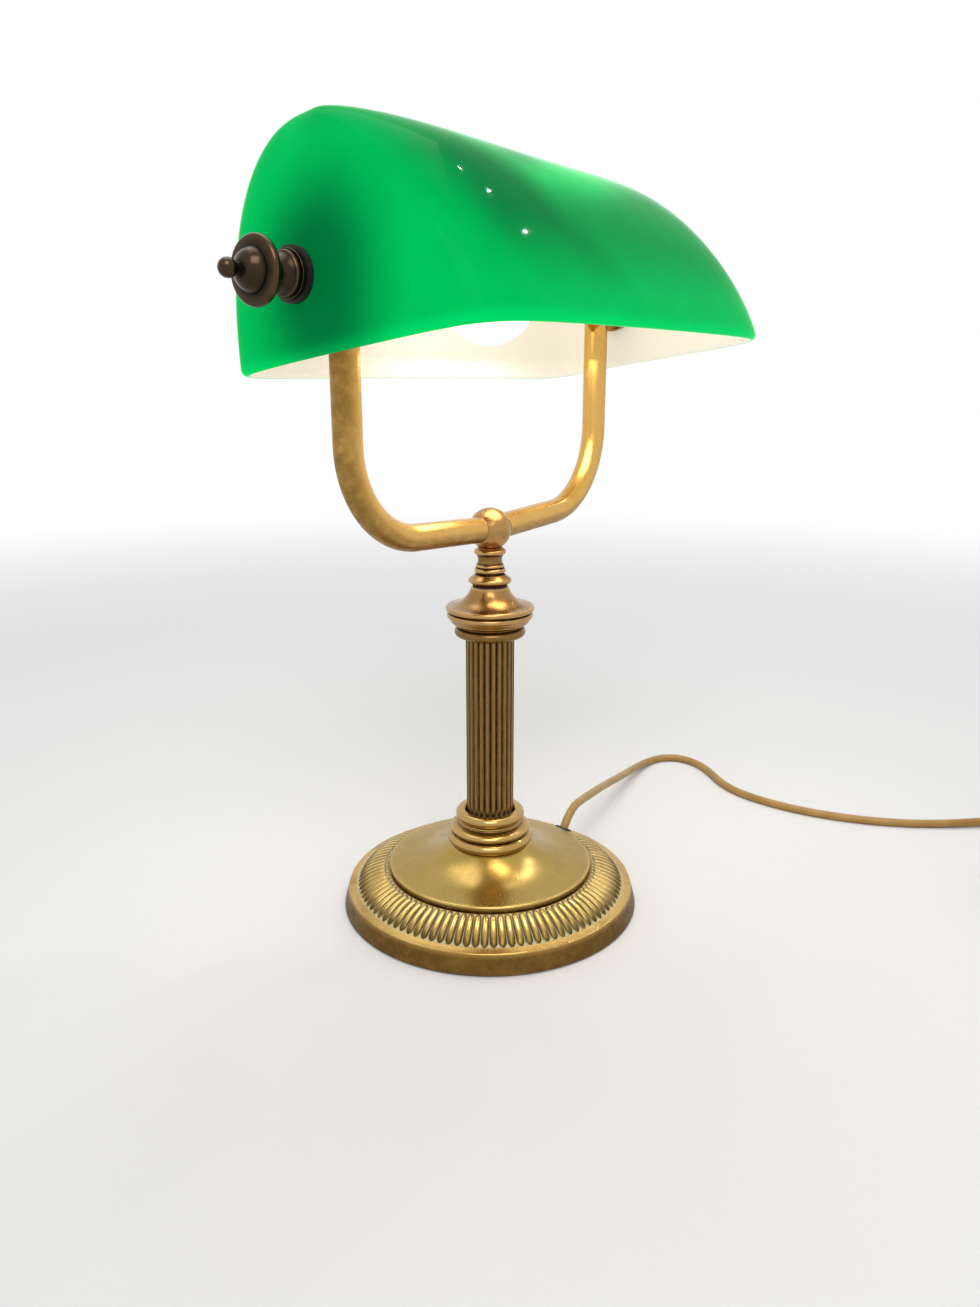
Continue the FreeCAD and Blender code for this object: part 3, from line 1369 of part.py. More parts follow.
def make_plug():
    """Fused three-pin plug in two shells, with pins, fuse, flex grip and cover screw."""
    parting, gap = book.plug_cover_height, book.running_gap
    top = parting + book.plug_base_height
    middle = book.pin_row + book.pin_spacing / 2
    wall = book.plug_wall
    pieces = {}
    cover = new_body("plug_cover")
    outline = new_sketch(cover, "XY_Plane")
    draw_outline(outline, plug_outline(0))
    add_pad(cover, outline, parting)
    cavity = new_sketch(cover, "XY_Plane", FreeCAD.Placement(Vector(0, 0, parting.value), Rotation()))
    draw_outline(cavity, plug_outline(wall))
    add_pocket(cover, cavity, (parting - wall) * 2)
    post = new_sketch(cover, "XY_Plane")
    draw_circle(post, book.plug_screw_radius + 2.2, middle)
    add_pad(cover, post, parting)
    bore = new_sketch(cover, "XY_Plane", FreeCAD.Placement(Vector(0, 0, parting.value), Rotation()))
    draw_circle(bore, book.plug_screw_radius + book.fit_gap, middle)
    add_pocket(cover, bore, (parting - wall) * 2)
    mouth = cylinder(book.flex_diameter / 2 + gap * 2, wall * 3, -wall, 0, book.plug_flex_height, OUTWARD)
    pieces["plug_cover"] = cut(cover, mouth)

    base = new_body("plug_base")
    outline = new_sketch(base, "XY_Plane")
    draw_outline(outline, plug_outline(0))
    add_pad(base, outline, book.plug_base_height)
    place(base, 0, 0, parting)
    pin_foot = parting - book.pin_tail
    half = book.pin_spacing / 2
    earth_row = book.pin_row + book.pin_spacing
    slots, pins = [], []
    for side in (1, -1):
        at = (book.pin_row, half * side, pin_foot)
        pins.append(box(book.pin_thickness, book.pin_width, top - pin_foot + book.pin_length, *at))
        slots.append(box(book.pin_thickness + gap, book.pin_width + gap, top, *at))
    earth = box(book.earth_pin_width, book.pin_thickness, top - pin_foot + book.earth_pin_length,
                earth_row, 0, pin_foot)
    slots.append(box(book.earth_pin_width + gap, book.pin_thickness + gap, top, earth_row, 0, pin_foot))
    start = book.pin_row + book.pin_spacing / 2 - book.fuse_length / 2
    fuse = cylinder(book.fuse_radius, book.fuse_length, start, book.fuse_place, parting, OUTWARD)
    slots.append(cylinder(book.fuse_radius + gap, book.fuse_length + gap * 2, start - gap,
                          book.fuse_place, parting, OUTWARD))
    head_foot = top - 2
    slots.append(cylinder(book.plug_screw_radius + gap, top, middle))
    slots.append(cylinder(book.plug_screw_head + gap, top, middle, 0, head_foot))
    pieces["plug_base"] = cut(base, *slots)
    pieces["plug_pins"] = compound(*pins)
    pieces["plug_earth_pin"] = compound(earth)
    pieces["plug_fuse"] = compound(fuse)
    shank = cylinder(book.plug_screw_radius, head_foot - wall - 0.5, middle, 0, wall + 0.5)
    head = cylinder(book.plug_screw_head, 1.7, middle, 0, head_foot)
    pieces["plug_screw"] = fused(shank, head)
    grip_foot = book.plug_flex_height + book.flex_diameter / 2 + gap
    grip = box(book.grip_width, book.grip_length, parting - grip_foot, wall * 2 + 1.5, 0, grip_foot)
    pieces["plug_cord_grip"] = compound(grip)
    for label, item in pieces.items():
        item.Placement = FreeCAD.Placement(PLUG_PLACE, Rotation(Z_AXIS, PLUG_TURN))
        publish(item, label)


# ---------------------------------------------------------------- files


def check_and_export():
    """Stop on any failed object or bad shape, then write one file for each sub-part."""
    document.recompute()
    for item in document.Objects:
        if "Invalid" in item.State or "Error" in item.State:
            raise RuntimeError(f"{item.Name} ({item.Label}) failed: {item.State}")
    for item in published:
        if item.Shape.isNull() or not item.Shape.isValid():
            raise RuntimeError(f"{item.Label} has no valid shape")
    os.makedirs("parts", exist_ok=True)
    for item in published:
        item.Shape.exportStep(f"parts/{item.Label}.step")
        print(item.Label, round(item.Shape.Volume), len(item.Shape.Solids))


fill_sheet()
make_felt_pad()
make_base_weight()
make_base_shell()
make_cord_grommet()
make_dome_plate()
make_lower_collar()
make_column_cup()
make_column()
make_capital_ring()
make_capital_cap()
make_rod()
shank = make_swivel()
make_neck(shank)
make_ball()
make_arms()
make_arm_heads()
make_pivot_pieces()
make_lampholder()
make_shade()
make_finials()
make_leads(shank)
make_coil()
make_flex()
make_plug()
check_and_export()
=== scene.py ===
"""Looks of the banker desk lamp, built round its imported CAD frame.

The record's frame is used throughout: +Z up, X along the yoke, -Y towards the shade's long slope.
Sizes in the classes are in millimetres; meshes and lights are in metres.
"""

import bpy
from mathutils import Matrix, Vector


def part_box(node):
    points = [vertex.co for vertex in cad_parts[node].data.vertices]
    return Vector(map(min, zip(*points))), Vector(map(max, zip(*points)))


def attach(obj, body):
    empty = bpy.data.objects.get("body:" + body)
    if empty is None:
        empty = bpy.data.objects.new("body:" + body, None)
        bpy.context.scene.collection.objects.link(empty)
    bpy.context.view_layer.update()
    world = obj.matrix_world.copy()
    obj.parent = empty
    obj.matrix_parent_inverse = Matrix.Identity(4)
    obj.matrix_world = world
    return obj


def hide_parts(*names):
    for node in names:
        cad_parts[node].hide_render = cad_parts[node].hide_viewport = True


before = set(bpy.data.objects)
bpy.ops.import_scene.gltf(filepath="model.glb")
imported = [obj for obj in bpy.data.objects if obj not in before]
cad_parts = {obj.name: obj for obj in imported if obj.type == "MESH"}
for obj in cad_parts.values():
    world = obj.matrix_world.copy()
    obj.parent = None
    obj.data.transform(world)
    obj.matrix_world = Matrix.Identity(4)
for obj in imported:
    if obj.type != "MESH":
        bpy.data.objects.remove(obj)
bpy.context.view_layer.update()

import logging
import math
from collections.abc import Callable
from dataclasses import dataclass
from enum import Enum

import bpy
import numpy as np

log = logging.getLogger("lamp")
MM = 0.001
TURN = 2 * math.pi
PIVOT_HEIGHT = 315.0
ARC_STEPS = 24
HOLLOW_GAIN, CREST_GAIN = 1.3, 0.7  # how a section's bend, per millimetre, tarnishes or rubs it
Array = np.ndarray
Corner = tuple[float, ...]
Marks = dict[str, Array]
Profile = Callable[[Array, Array, Array], Array]


# ---------------------------------------------------------------- surfaces


def smoothstep(value: Array) -> Array:
    """0 up to 0 and 1 from 1 on, with a smooth rise between them: 3v^2 - 2v^3."""
    held = np.clip(value, 0.0, 1.0)
    return held * held * (3 - 2 * held)


def arc_points(start: Array, end: Array, radius: float) -> Array:
    """Points of an arc from start up to, and without, end.

    The centre lies on the chord's middle line, at the distance that gives the radius; the angle then
    runs evenly from the start's to the end's.

    Args:
        start: first point (across, up).
        end: last point.
        radius: above 0 the arc bulges out of an anticlockwise outline, below 0 it is hollow.

    Returns:
        The points, one row each.
    """
    chord = end - start
    length = float(np.hypot(*chord))
    left = np.array([-chord[1], chord[0]]) / length
    reach = math.sqrt(max(radius * radius - length * length / 4, 0.0))
    centre = (start + end) / 2 + left * math.copysign(reach, radius)
    first = math.atan2(start[1] - centre[1], start[0] - centre[0])
    last = math.atan2(end[1] - centre[1], end[0] - centre[0])
    turn = (last - first) % TURN
    if radius < 0:
        turn -= TURN
    angles = first + turn * np.linspace(0, 1, ARC_STEPS + 1)[:-1]
    return centre + abs(radius) * np.column_stack([np.cos(angles), np.sin(angles)])


def bell(samples: int, step: float, reach: float) -> Array:
    """Gaussian weights that add up to 1.

    Args:
        samples: how many lie on each side of the middle one.
        step: distance between two samples.
        reach: standard deviation, in the unit of the step.

    Returns:
        The weights.
    """
    weights = np.exp(-0.5 * (np.arange(-samples, samples + 1) * step / reach) ** 2)
    return weights / weights.sum()


@dataclass(frozen=True)
class Outline:
    """The section of a turned piece: anticlockwise corners (across, up[, arc radius to the next]).

    A section that starts and ends on the axis makes a solid of revolution, any other a ring.
    """

    corners: tuple[Corner, ...]
    ease: float = 0.22  # how far worn corners are rounded
    coarse: float = 3.0  # longest side of the mesh along the section
    kink: float = 9.0  # most degrees that the section turns between two points
    bend_reach: float = 0.5  # length over which the bend is averaged

    @property
    def meets_axis(self) -> bool:
        """Whether the section starts and ends on the axis."""
        return self.corners[0][0] == 0 and self.corners[-1][0] == 0

    def trace(self) -> Array:
        """The corners with their arcs filled in."""
        rows = []
        count = len(self.corners)
        for index, corner in enumerate(self.corners):
            if index == count - 1 and self.meets_axis:
                rows.append(np.array([corner[:2]]))
                break
            start, end = np.array(corner[:2]), np.array(self.corners[(index + 1) % count][:2])
            rows.append(arc_points(start, end, corner[2]) if len(corner) == 3 else start[None])
        if not self.meets_axis:
            rows.append(np.array([self.corners[0][:2]]))
        return np.vstack(rows)

    def even(self, step: float) -> Array:
        """Points at even steps of length along the trace, by linear interpolation of its length."""
        trace = self.trace()
        run = np.concatenate([[0], np.cumsum(np.hypot(*np.diff(trace, axis=0).T))])
        marks = np.linspace(0, run[-1], max(int(run[-1] / step), 8) + 1)
        return np.column_stack([np.interp(marks, run, trace[:, axis]) for axis in (0, 1)])

    def points(self) -> tuple[Array, Array]:
        """The eased section, thinned where it is straight.

        Every point becomes the Gaussian average of its neighbours, which rounds the corners; past the
        axis the neighbours are mirrored, so that a pole stays on it. A point is kept wherever the
        running sum of turning and length passes a whole number.

        Returns:
            The points, and the bend at each: above 0 on ridges and below 0 in hollows, per millimetre.
        """
        step = self.ease / 2
        line = self.even(step)
        eased, averaged = 8, 12
        if self.meets_axis:
            flip = np.array([-1.0, 1.0])
            padded = np.vstack([line[eased:0:-1] * flip, line, line[-2:-eased - 2:-1] * flip])
        else:
            line = line[:-1]
            padded = np.vstack([line[-eased:], line, line[:eased]])
        weights = bell(eased, step, self.ease)
        line = np.column_stack([np.convolve(padded[:, axis], weights, "valid") for axis in (0, 1)])
        ahead = np.roll(line, -1, axis=0) - line
        back = line - np.roll(line, 1, axis=0)
        if self.meets_axis:
            ahead[-1], back[0] = back[-1], ahead[0]
            line[[0, -1], 0] = 0
        cross = back[:, 0] * ahead[:, 1] - back[:, 1] * ahead[:, 0]
        turn = np.arctan2(cross, (back * ahead).sum(axis=1))
        bend = np.convolve(np.pad(turn, averaged, "edge" if self.meets_axis else "wrap"),
                           bell(averaged, step, self.bend_reach), "valid") / step
        length = np.hypot(*ahead.T)
        keep = np.floor(np.cumsum(np.abs(turn) / math.radians(self.kink) + length / self.coarse))
        chosen = np.flatnonzero(np.diff(keep, prepend=-1) > 0)
        if self.meets_axis:
            chosen = np.unique(np.concatenate([[0], chosen, [len(line) - 1]]))
        return line[chosen], bend[chosen]


def new_object(name: str, data: bpy.types.ID) -> bpy.types.Object:
    """A new object for a mesh, curve, lamp or camera, linked to the scene."""
    made = bpy.data.objects.new(name, data)
    bpy.context.scene.collection.objects.link(made)
    return made


def build_mesh(name: str, points: Array, faces: Array, marks: Marks | None = None) -> bpy.types.Object:
    """Makes a smooth-shaded mesh object.

    Args:
        name: name of the piece.
        points: one row (x, y, z) in millimetres for each vertex.
        faces: rows of four vertex numbers; a row that repeats its last number is a triangle.
        marks: float values of each vertex, by attribute name.

    Returns:
        The object, linked to the scene.
    """
    mesh = bpy.data.meshes.new(name)
    mesh.vertices.add(len(points))
    mesh.vertices.foreach_set("co", (points * MM).astype(np.float32).ravel())
    sides = np.where(faces[:, 3] == faces[:, 2], 3, 4)
    flat = faces.ravel()[(np.arange(4)[None] < sides[:, None]).ravel()]
    mesh.loops.add(len(flat))
    mesh.loops.foreach_set("vertex_index", flat.astype(np.int32))
    mesh.polygons.add(len(faces))
    mesh.polygons.foreach_set("loop_start", (np.cumsum(sides) - sides).astype(np.int32))
    mesh.polygons.foreach_set("loop_total", sides.astype(np.int32))
    mesh.polygons.foreach_set("use_smooth", np.ones(len(faces), bool))
    for label, values in (marks or {}).items():
        attribute = mesh.attributes.new(label, "FLOAT", "POINT")
        attribute.data.foreach_set("value", values.astype(np.float32))
    mesh.update(calc_edges=True)
    mesh.validate()
    return new_object(name, mesh)


def grid_faces(rows: int, columns: int, closed_rows: bool, closed_columns: bool) -> Array:
    """Quads between neighbouring points of a grid numbered row by row.

    Args:
        rows: number of rows.
        columns: number of points in each row.
        closed_rows: whether the last row joins the first.
        closed_columns: whether each row's last point joins its first.

    Returns:
        One row of four point numbers for each quad.
    """
    row = np.arange(rows if closed_rows else rows - 1)
    column = np.arange(columns if closed_columns else columns - 1)
    row, column = (item.ravel() for item in np.meshgrid(row, column, indexing="ij"))
    below, beside = (row + 1) % rows, (column + 1) % columns
    return np.column_stack([row * columns + column, row * columns + beside,
                            below * columns + beside, below * columns + column])


def closed_faces(rows: int, columns: int) -> Array:
    """Faces of a grid of rings whose ends are closed by fans.

    Args:
        rows: number of rings.
        columns: points in each; the first and last pole are numbered after them all.

    Returns:
        Rows of four point numbers; a triangle repeats its last.
    """
    ring = np.arange(columns)
    following = (ring + 1) % columns
    final = (rows - 1) * columns
    first, last = np.full(columns, rows * columns), np.full(columns, rows * columns + 1)
    return np.vstack([grid_faces(rows, columns, False, True),
                      np.column_stack([first, following, ring, ring]),
                      np.column_stack([final + ring, final + following, last, last])])


def round_angles(count: int) -> Array:
    """Angles from 0 at even steps of a full turn."""
    return np.linspace(0, TURN, count, endpoint=False)


def about_axis(radius: Array, height: Array, angle: Array) -> Array:
    """Points (r cos(angle), r sin(angle), height) about the Z axis, one row each."""
    return np.column_stack([(radius * np.cos(angle)).ravel(), (radius * np.sin(angle)).ravel(),
                            height.ravel()])


def lathe(name: str, outline: Outline, turns: int = 128, lift: float = 0.0,
          swell: Profile | None = None,
          marks: Callable[[Array, Array, Array], Marks] | None = None) -> bpy.types.Object:
    """Turns an outline about the Z axis.

    The hollow and crest attributes tell how far each point lies in a hollow or on a ridge.

    Args:
        name: name of the piece.
        outline: its section.
        turns: points round the axis.
        lift: height added to the whole section.
        swell: gives new radii from arrays of radius, height and angle, for reeds.
        marks: gives more attributes from the same arrays.

    Returns:
        The object.
    """
    line, bend = outline.points()
    poles = outline.meets_axis
    inner, curve = (line[1:-1], bend[1:-1]) if poles else (line, bend)
    angle = round_angles(turns)[None]
    radius, height = (np.repeat(inner[:, axis, None], turns, axis=1) for axis in (0, 1))
    if swell:
        radius = swell(radius, height, angle)
    points = about_axis(radius, height, angle)
    curve = np.repeat(curve, turns)
    values = {"hollow": np.clip(-curve * HOLLOW_GAIN, 0, 1), "crest": np.clip(curve * CREST_GAIN, 0, 1)}
    for label, array in (marks(radius, height, angle) if marks else {}).items():
        values[label] = (array + np.zeros_like(radius)).ravel()
    if poles:
        points = np.vstack([points, [0, 0, line[0, 1]], [0, 0, line[-1, 1]]])
        values = {label: np.concatenate([array, [0, 0]]) for label, array in values.items()}
        faces = closed_faces(len(inner), turns)
    else:
        faces = grid_faces(len(inner), turns, True, True)
    return build_mesh(name, points + np.array([0, 0, lift]), faces, values)


def tube(name: str, path: Array, radius: Array, across: Array, wear_and_shade: int,
         around: int = 48) -> bpy.types.Object:
    """A round tube with closed ends along a plane path.

    Each point is path + radius (side cos(angle) + across sin(angle)), where side is square to both the
    path and the across direction. The outer and lower half, away from the bulb, is darkened with painted
    shade.

    Args:
        name: name of the piece.
        path: points along the middle, in millimetres.
        radius: the tube's radius at each.
        across: unit vector square to the path's plane.
        wear_and_shade: 1 if the painted shade lies on the half that the side vector points to, -1 if it
            lies on the other.
        around: points in each ring.

    Returns:
        The object.
    """
    along = np.gradient(path, axis=0)
    along /= np.linalg.norm(along, axis=1)[:, None]
    side = np.cross(across, along)[:, None]
    angle = round_angles(around)[None, :, None]
    rings = path[:, None] + radius[:, None, None] * (side * np.cos(angle) + across * np.sin(angle))
    slope = np.abs(np.gradient(radius))[:, None] * np.ones(around)
    # painted shade: the half away from the bulb is darkened through the hollow attribute
    painted_side_shade = 0.62 * smoothstep((wear_and_shade * np.cos(angle[..., 0]) + 0.35) / 1.2)
    hollow = np.concatenate([np.clip(slope * 6 + painted_side_shade, 0, 1).ravel(), [0, 0]])
    return build_mesh(name, np.vstack([rings.reshape(-1, 3), path[0], path[-1]]),
                      closed_faces(len(path), around),
                      {"hollow": hollow, "crest": hollow * 0, "residue": hollow * 0})


class Pivot(Enum):
    """How a piece turned about its own Z axis is laid on the pivot axis."""

    RIGHT = 1
    LEFT = -1


def lay_on_pivot(piece: bpy.types.Object, way: Pivot) -> None:
    """Turns a piece's mesh from standing on Z to lying along X and lifts it to the pivot.

    To the right (x, y, z) goes to (z, y, -x), to the left to (-z, y, x).

    Args:
        piece: the piece, with its mesh in metres.
        way: the side it points to.
    """
    mesh = piece.data
    points = np.empty(len(mesh.vertices) * 3, np.float32)
    mesh.vertices.foreach_get("co", points)
    x, y, z = points.reshape(-1, 3).T
    laid = np.column_stack([z * way.value, y, -x * way.value + PIVOT_HEIGHT * MM])
    mesh.vertices.foreach_set("co", laid.ravel())
    mesh.update()


# ---------------------------------------------------------------- finishes


def linear(code: str) -> tuple[float, float, float, float]:
    """A hexadecimal sRGB colour as the linear colour that a shader takes."""
    values = [int(code[start:start + 2], 16) / 255 for start in (0, 2, 4)]
    return (*(v / 12.92 if v <= 0.04045 else ((v + 0.055) / 1.055) ** 2.4 for v in values), 1.0)


class Tree:
    """Adds nodes to one node tree and links them."""

    def __init__(self, tree: bpy.types.NodeTree) -> None:
        """Keeps the tree."""
        self.tree = tree

    def feed(self, node: bpy.types.Node, inputs: dict) -> None:
        """Sets a node's inputs, by name or number, to values or sockets."""
        for name, value in inputs.items():
            if isinstance(value, bpy.types.NodeSocket):
                self.tree.links.new(value, node.inputs[name])
            else:
                node.inputs[name].default_value = value

    def add(self, kind: str, inputs: dict | None = None, **settings: object) -> bpy.types.Node:
        """Adds a node.

        Args:
            kind: the node's type, without its ShaderNode prefix.
            inputs: values or sockets for its inputs, by name or number.
            settings: its properties.

        Returns:
            The node.
        """
        node = self.tree.nodes.new(kind if kind.startswith("NodeGroup") else f"ShaderNode{kind}")
        for name, value in settings.items():
            setattr(node, name, value)
        self.feed(node, inputs or {})
        return node

    def find(self, kind: str) -> bpy.types.Node:
        """The node of a type that the tree has from the start."""
        return next(node for node in self.tree.nodes if node.type == kind)

    def math(self, operation: str, *values: object, clamp: bool = False) -> bpy.types.NodeSocket:
        """The result of a math node with these values or sockets."""
        return self.add("Math", dict(enumerate(values)), operation=operation, use_clamp=clamp).outputs[0]

    def product(self, first: object, *factors: object, clamp: bool = False) -> bpy.types.NodeSocket:
        """The product of values or sockets, from left to right."""
        for factor in factors:
            first = self.math("MULTIPLY", first, factor, clamp=clamp)
        return first

    def scaled(self, value: object, factor: float, added: object,
               clamp: bool = False) -> bpy.types.NodeSocket:
        """A value times a factor, plus what is added."""
        return self.math("MULTIPLY_ADD", value, factor, added, clamp=clamp)

    def less(self, value: object, taken: object) -> bpy.types.NodeSocket:
        """A value less what is taken from it."""
        return self.math("SUBTRACT", value, taken)

    def noise(self, place: bpy.types.NodeSocket, scale: float, detail: float = 3.0,
              roughness: float = 0.55) -> bpy.types.NodeSocket:
        """The value of a noise texture at a place."""
        return self.add("TexNoise", {"Vector": place, "Scale": scale, "Detail": detail,
                                     "Roughness": roughness}).outputs["Fac"]

    def spread(self, value: bpy.types.NodeSocket, low: float, high: float, first: float = 0.0,
               last: float = 1.0) -> bpy.types.NodeSocket:
        """A value from low to high spread smoothly over first to last."""
        return self.add("MapRange", {"Value": value, "From Min": low, "From Max": high, "To Min": first,
                                     "To Max": last}, interpolation_type="SMOOTHSTEP").outputs["Result"]

    def mix(self, share: object, first: object, second: object) -> bpy.types.NodeSocket:
        """Two colours mixed by a share."""
        return self.add("Mix", {0: share, 6: first, 7: second}, data_type="RGBA").outputs[2]

    def attribute(self, name: str) -> bpy.types.NodeSocket:
        """A mesh attribute's value."""
        return self.add("Attribute", attribute_name=name).outputs["Fac"]

    def place(self, scale: tuple[float, float, float] | None = None) -> bpy.types.NodeSocket:
        """Object coordinates, stretched if a scale is given."""
        socket = self.add("TexCoord").outputs["Object"]
        if scale is None:
            return socket
        return self.add("Mapping", {"Vector": socket, "Scale": scale}).outputs["Vector"]

    def relief(self, shader: bpy.types.Node, height: bpy.types.NodeSocket, strength: float,
               distance: float) -> None:
        """Bumps a shader's normal by a height, with the bump node's strength and distance."""
        bump = self.add("Bump", {"Height": height, "Strength": strength, "Distance": distance})
        self.feed(shader, {"Normal": bump.outputs["Normal"]})


def new_surface(name: str) -> tuple[bpy.types.Material, Tree, bpy.types.Node]:
    """A new material with its tree and its principled shader."""
    material = bpy.data.materials.new(name)
    material.use_nodes = True
    tree = Tree(material.node_tree)
    return material, tree, tree.find("BSDF_PRINCIPLED")


@dataclass(frozen=True)
class Finish:
    """A named surface whose material is made once."""

    name: str

    def material(self) -> bpy.types.Material:
        """The material, painted when it is first asked for."""
        material = bpy.data.materials.get(self.name)
        if material is None:
            material, tree, shader = new_surface(self.name)
            self.paint(tree, shader)
        return material

    def paint(self, tree: Tree, shader: bpy.types.Node) -> None:
        """Adds the finish's nodes to a material's tree and links them to its shader."""
        raise NotImplementedError


def aged_metal_group() -> bpy.types.NodeTree:
    """The surface of old lacquered brass.

    Two noises mottle the bright colour with the dull one. The hollow attribute darkens towards the tarnish
    colour: tarnish that polishing leaves in hollows, a darker lower wall of the base, and painted shade on
    the arms' outer and lower sides and on the gadroons' flanks and lower ends. The crest attribute
    brightens ridges that polishing reaches, and paints a highlight on the base's top edge. Fine streaks
    vary the gloss.
    Dried polish, pale and matt, fills the places that the residue attribute names.

    Returns:
        The group, made once.
    """
    made = bpy.data.node_groups.get("aged_metal")
    if made:
        return made
    group = bpy.data.node_groups.new("aged_metal", "ShaderNodeTree")
    sockets = {"Bright": "Color", "Dull": "Color", "Tarnish": "Color", "RubbedAndHighlight": "Color",
               "Mottle": "Float", "Gloss": "Float", "DirtAndShade": "Float"}
    results = {"Color": "Color", "Roughness": "Float", "Metal": "Float", "Height": "Float"}
    for way, wanted in (("INPUT", sockets), ("OUTPUT", results)):
        for label, kind in wanted.items():
            group.interface.new_socket(label, in_out=way, socket_type=f"NodeSocket{kind}")
    tree = Tree(group)
    given = tree.add("NodeGroupInput").outputs
    place = tree.place()
    broad = tree.noise(place, 38, 4, 0.6)
    close = tree.noise(place, 190, 5, 0.65)
    streaks = tree.noise(tree.place((900, 900, 60)), 1.0, 3, 0.6)
    pits = tree.noise(place, 1400, 2, 0.5)
    clouds = tree.scaled(broad, 0.65, tree.product(close, 0.35))
    mottle = tree.product(tree.spread(clouds, 0.38, 0.66), given["Mottle"])
    # the hollow attribute brings tarnish in hollows and painted shade alike
    hollow = tree.product(tree.attribute("hollow"), given["DirtAndShade"], clamp=True)
    grime_and_shade = tree.product(hollow, tree.spread(close, 0.2, 0.6, 0.55, 1.0))
    # the crest attribute brings polishing wear and the painted highlight on the base's top edge
    rubbed_and_highlight = tree.product(tree.attribute("crest"), tree.spread(broad, 0.35, 0.6, 0.25, 0.85))
    dried = tree.product(tree.attribute("residue"), tree.spread(close, 0.25, 0.5, 0.7, 1.25), clamp=True)
    colour = tree.mix(mottle, given["Bright"], given["Dull"])
    for share, over in ((rubbed_and_highlight, given["RubbedAndHighlight"]), (grime_and_shade, given["Tarnish"]), (dried, linear("CFC59A"))):
        colour = tree.mix(share, colour, over)
    rough = tree.scaled(mottle, 0.10, tree.scaled(grime_and_shade, 0.32, given["Gloss"]))
    rough = tree.scaled(tree.less(streaks, 0.5), 0.12, rough)
    tree.feed(tree.add("NodeGroupOutput"), {
        "Color": colour, "Roughness": tree.scaled(dried, 0.4, rough, clamp=True),
        "Metal": tree.scaled(dried, -0.9, 1.0),
        "Height": tree.scaled(pits, 0.6, tree.product(streaks, 0.4))})
    return group


@dataclass(frozen=True)
class MetalFinish(Finish):
    """Old metal: bright, dull, tarnished and polished-ridge colours, and how it wears; the last two also
    paint shade and a highlight.
    """

    bright: str
    dull: str
    tarnish: str
    rubbed_and_highlight: str
    gloss: float = 0.27
    mottle: float = 0.7
    dirt_and_shade: float = 1.0
    relief: float = 0.06

    def paint(self, tree: Tree, shader: bpy.types.Node) -> None:
        """Gives the group for aged metal this finish's values and links it to the shader."""
        group = tree.add("Group", node_tree=aged_metal_group())
        tree.feed(group, {"Bright": linear(self.bright), "Dull": linear(self.dull),
                          "Tarnish": linear(self.tarnish), "RubbedAndHighlight": linear(self.rubbed_and_highlight),
                          "Mottle": self.mottle, "Gloss": self.gloss, "DirtAndShade": self.dirt_and_shade})
        made = group.outputs
        tree.feed(shader, {"Base Color": made["Color"], "Roughness": made["Roughness"],
                           "Metallic": made["Metal"]})
        tree.relief(shader, made["Height"], self.relief, 0.0004)


BASE_BRASS = MetalFinish("base_brass", "9A773D", "845F2D", "2E1A0A", "D6B46C", 0.24, 0.6)
BAND_BRASS = MetalFinish("band_brass", "B0904C", "94733A", "35240F", "EACF88", 0.18, 0.3)
DOME_BRASS = MetalFinish("dome_brass", "AD9150", "9A7F42", "2B1E0E", "D8BA72", 0.22, 0.6)
BEAD_BRASS = MetalFinish("bead_brass", "B29055", "967540", "22140A", "E2C27E", 0.18, 0.6, dirt_and_shade=1.6)
# darker brass; on the bead ring under the capital it stands for painted shade
COLUMN_BRASS = MetalFinish("column_brass", "7A5A30", "5C4224", "1A0F07", "B08E54", 0.22, 0.8)
CAPITAL_BRASS = MetalFinish("capital_brass", "AC8450", "8E6A3C", "24150A", "DDB77C", 0.20, 0.6, dirt_and_shade=1.4)
COPPERY_BRASS = MetalFinish("coppery_brass", "B48B54", "98703F", "33200F", "E0BC82", 0.23, 0.6)
GOLDEN_BRASS = MetalFinish("golden_brass", "D9AD60", "C4954A", "452C12", "EDCF8E", 0.19, 0.45)
DARK_BRONZE = MetalFinish("dark_bronze", "41352A", "2C231C", "100B08", "6E553A", 0.18, 0.7)
INNER_BRASS = MetalFinish("inner_brass", "B08D4B", "93733A", "3A2812", "C9A661", 0.30, 0.5)
BRIGHT_STEEL = MetalFinish("bright_steel", "B4B2AE", "8F8D89", "3C3A37", "D5D3CF", 0.28, 0.6)
PLUG_PIN_BRASS = MetalFinish("plug_pin_brass", "C9A65C", "B08E49", "5C4622", "E4C67F", 0.2, 0.4)


@dataclass(frozen=True)
class PlainFinish(Finish):
    """A finish of one main colour with a second in soft patches, and a fine relief."""

    colour: str
    second: str
    rough: float = 0.5
    metal: float = 0.0
    scale: float = 120.0
    grain: float = 900.0
    relief: float = 0.1
    coat: float = 0.0

    def paint(self, tree: Tree, shader: bpy.types.Node) -> None:
        """Links the patches to the colour, and the grain to the roughness and the relief."""
        place = tree.place()
        patches = tree.spread(tree.noise(place, self.scale, 4), 0.35, 0.65)
        grain = tree.noise(place, self.grain, 2)
        tree.feed(shader, {"Base Color": tree.mix(patches, linear(self.colour), linear(self.second)),
                           "Roughness": tree.scaled(grain, 0.16, self.rough - 0.08),
                           "Metallic": self.metal, "Coat Weight": self.coat})
        tree.relief(shader, grain, self.relief, 0.0003)


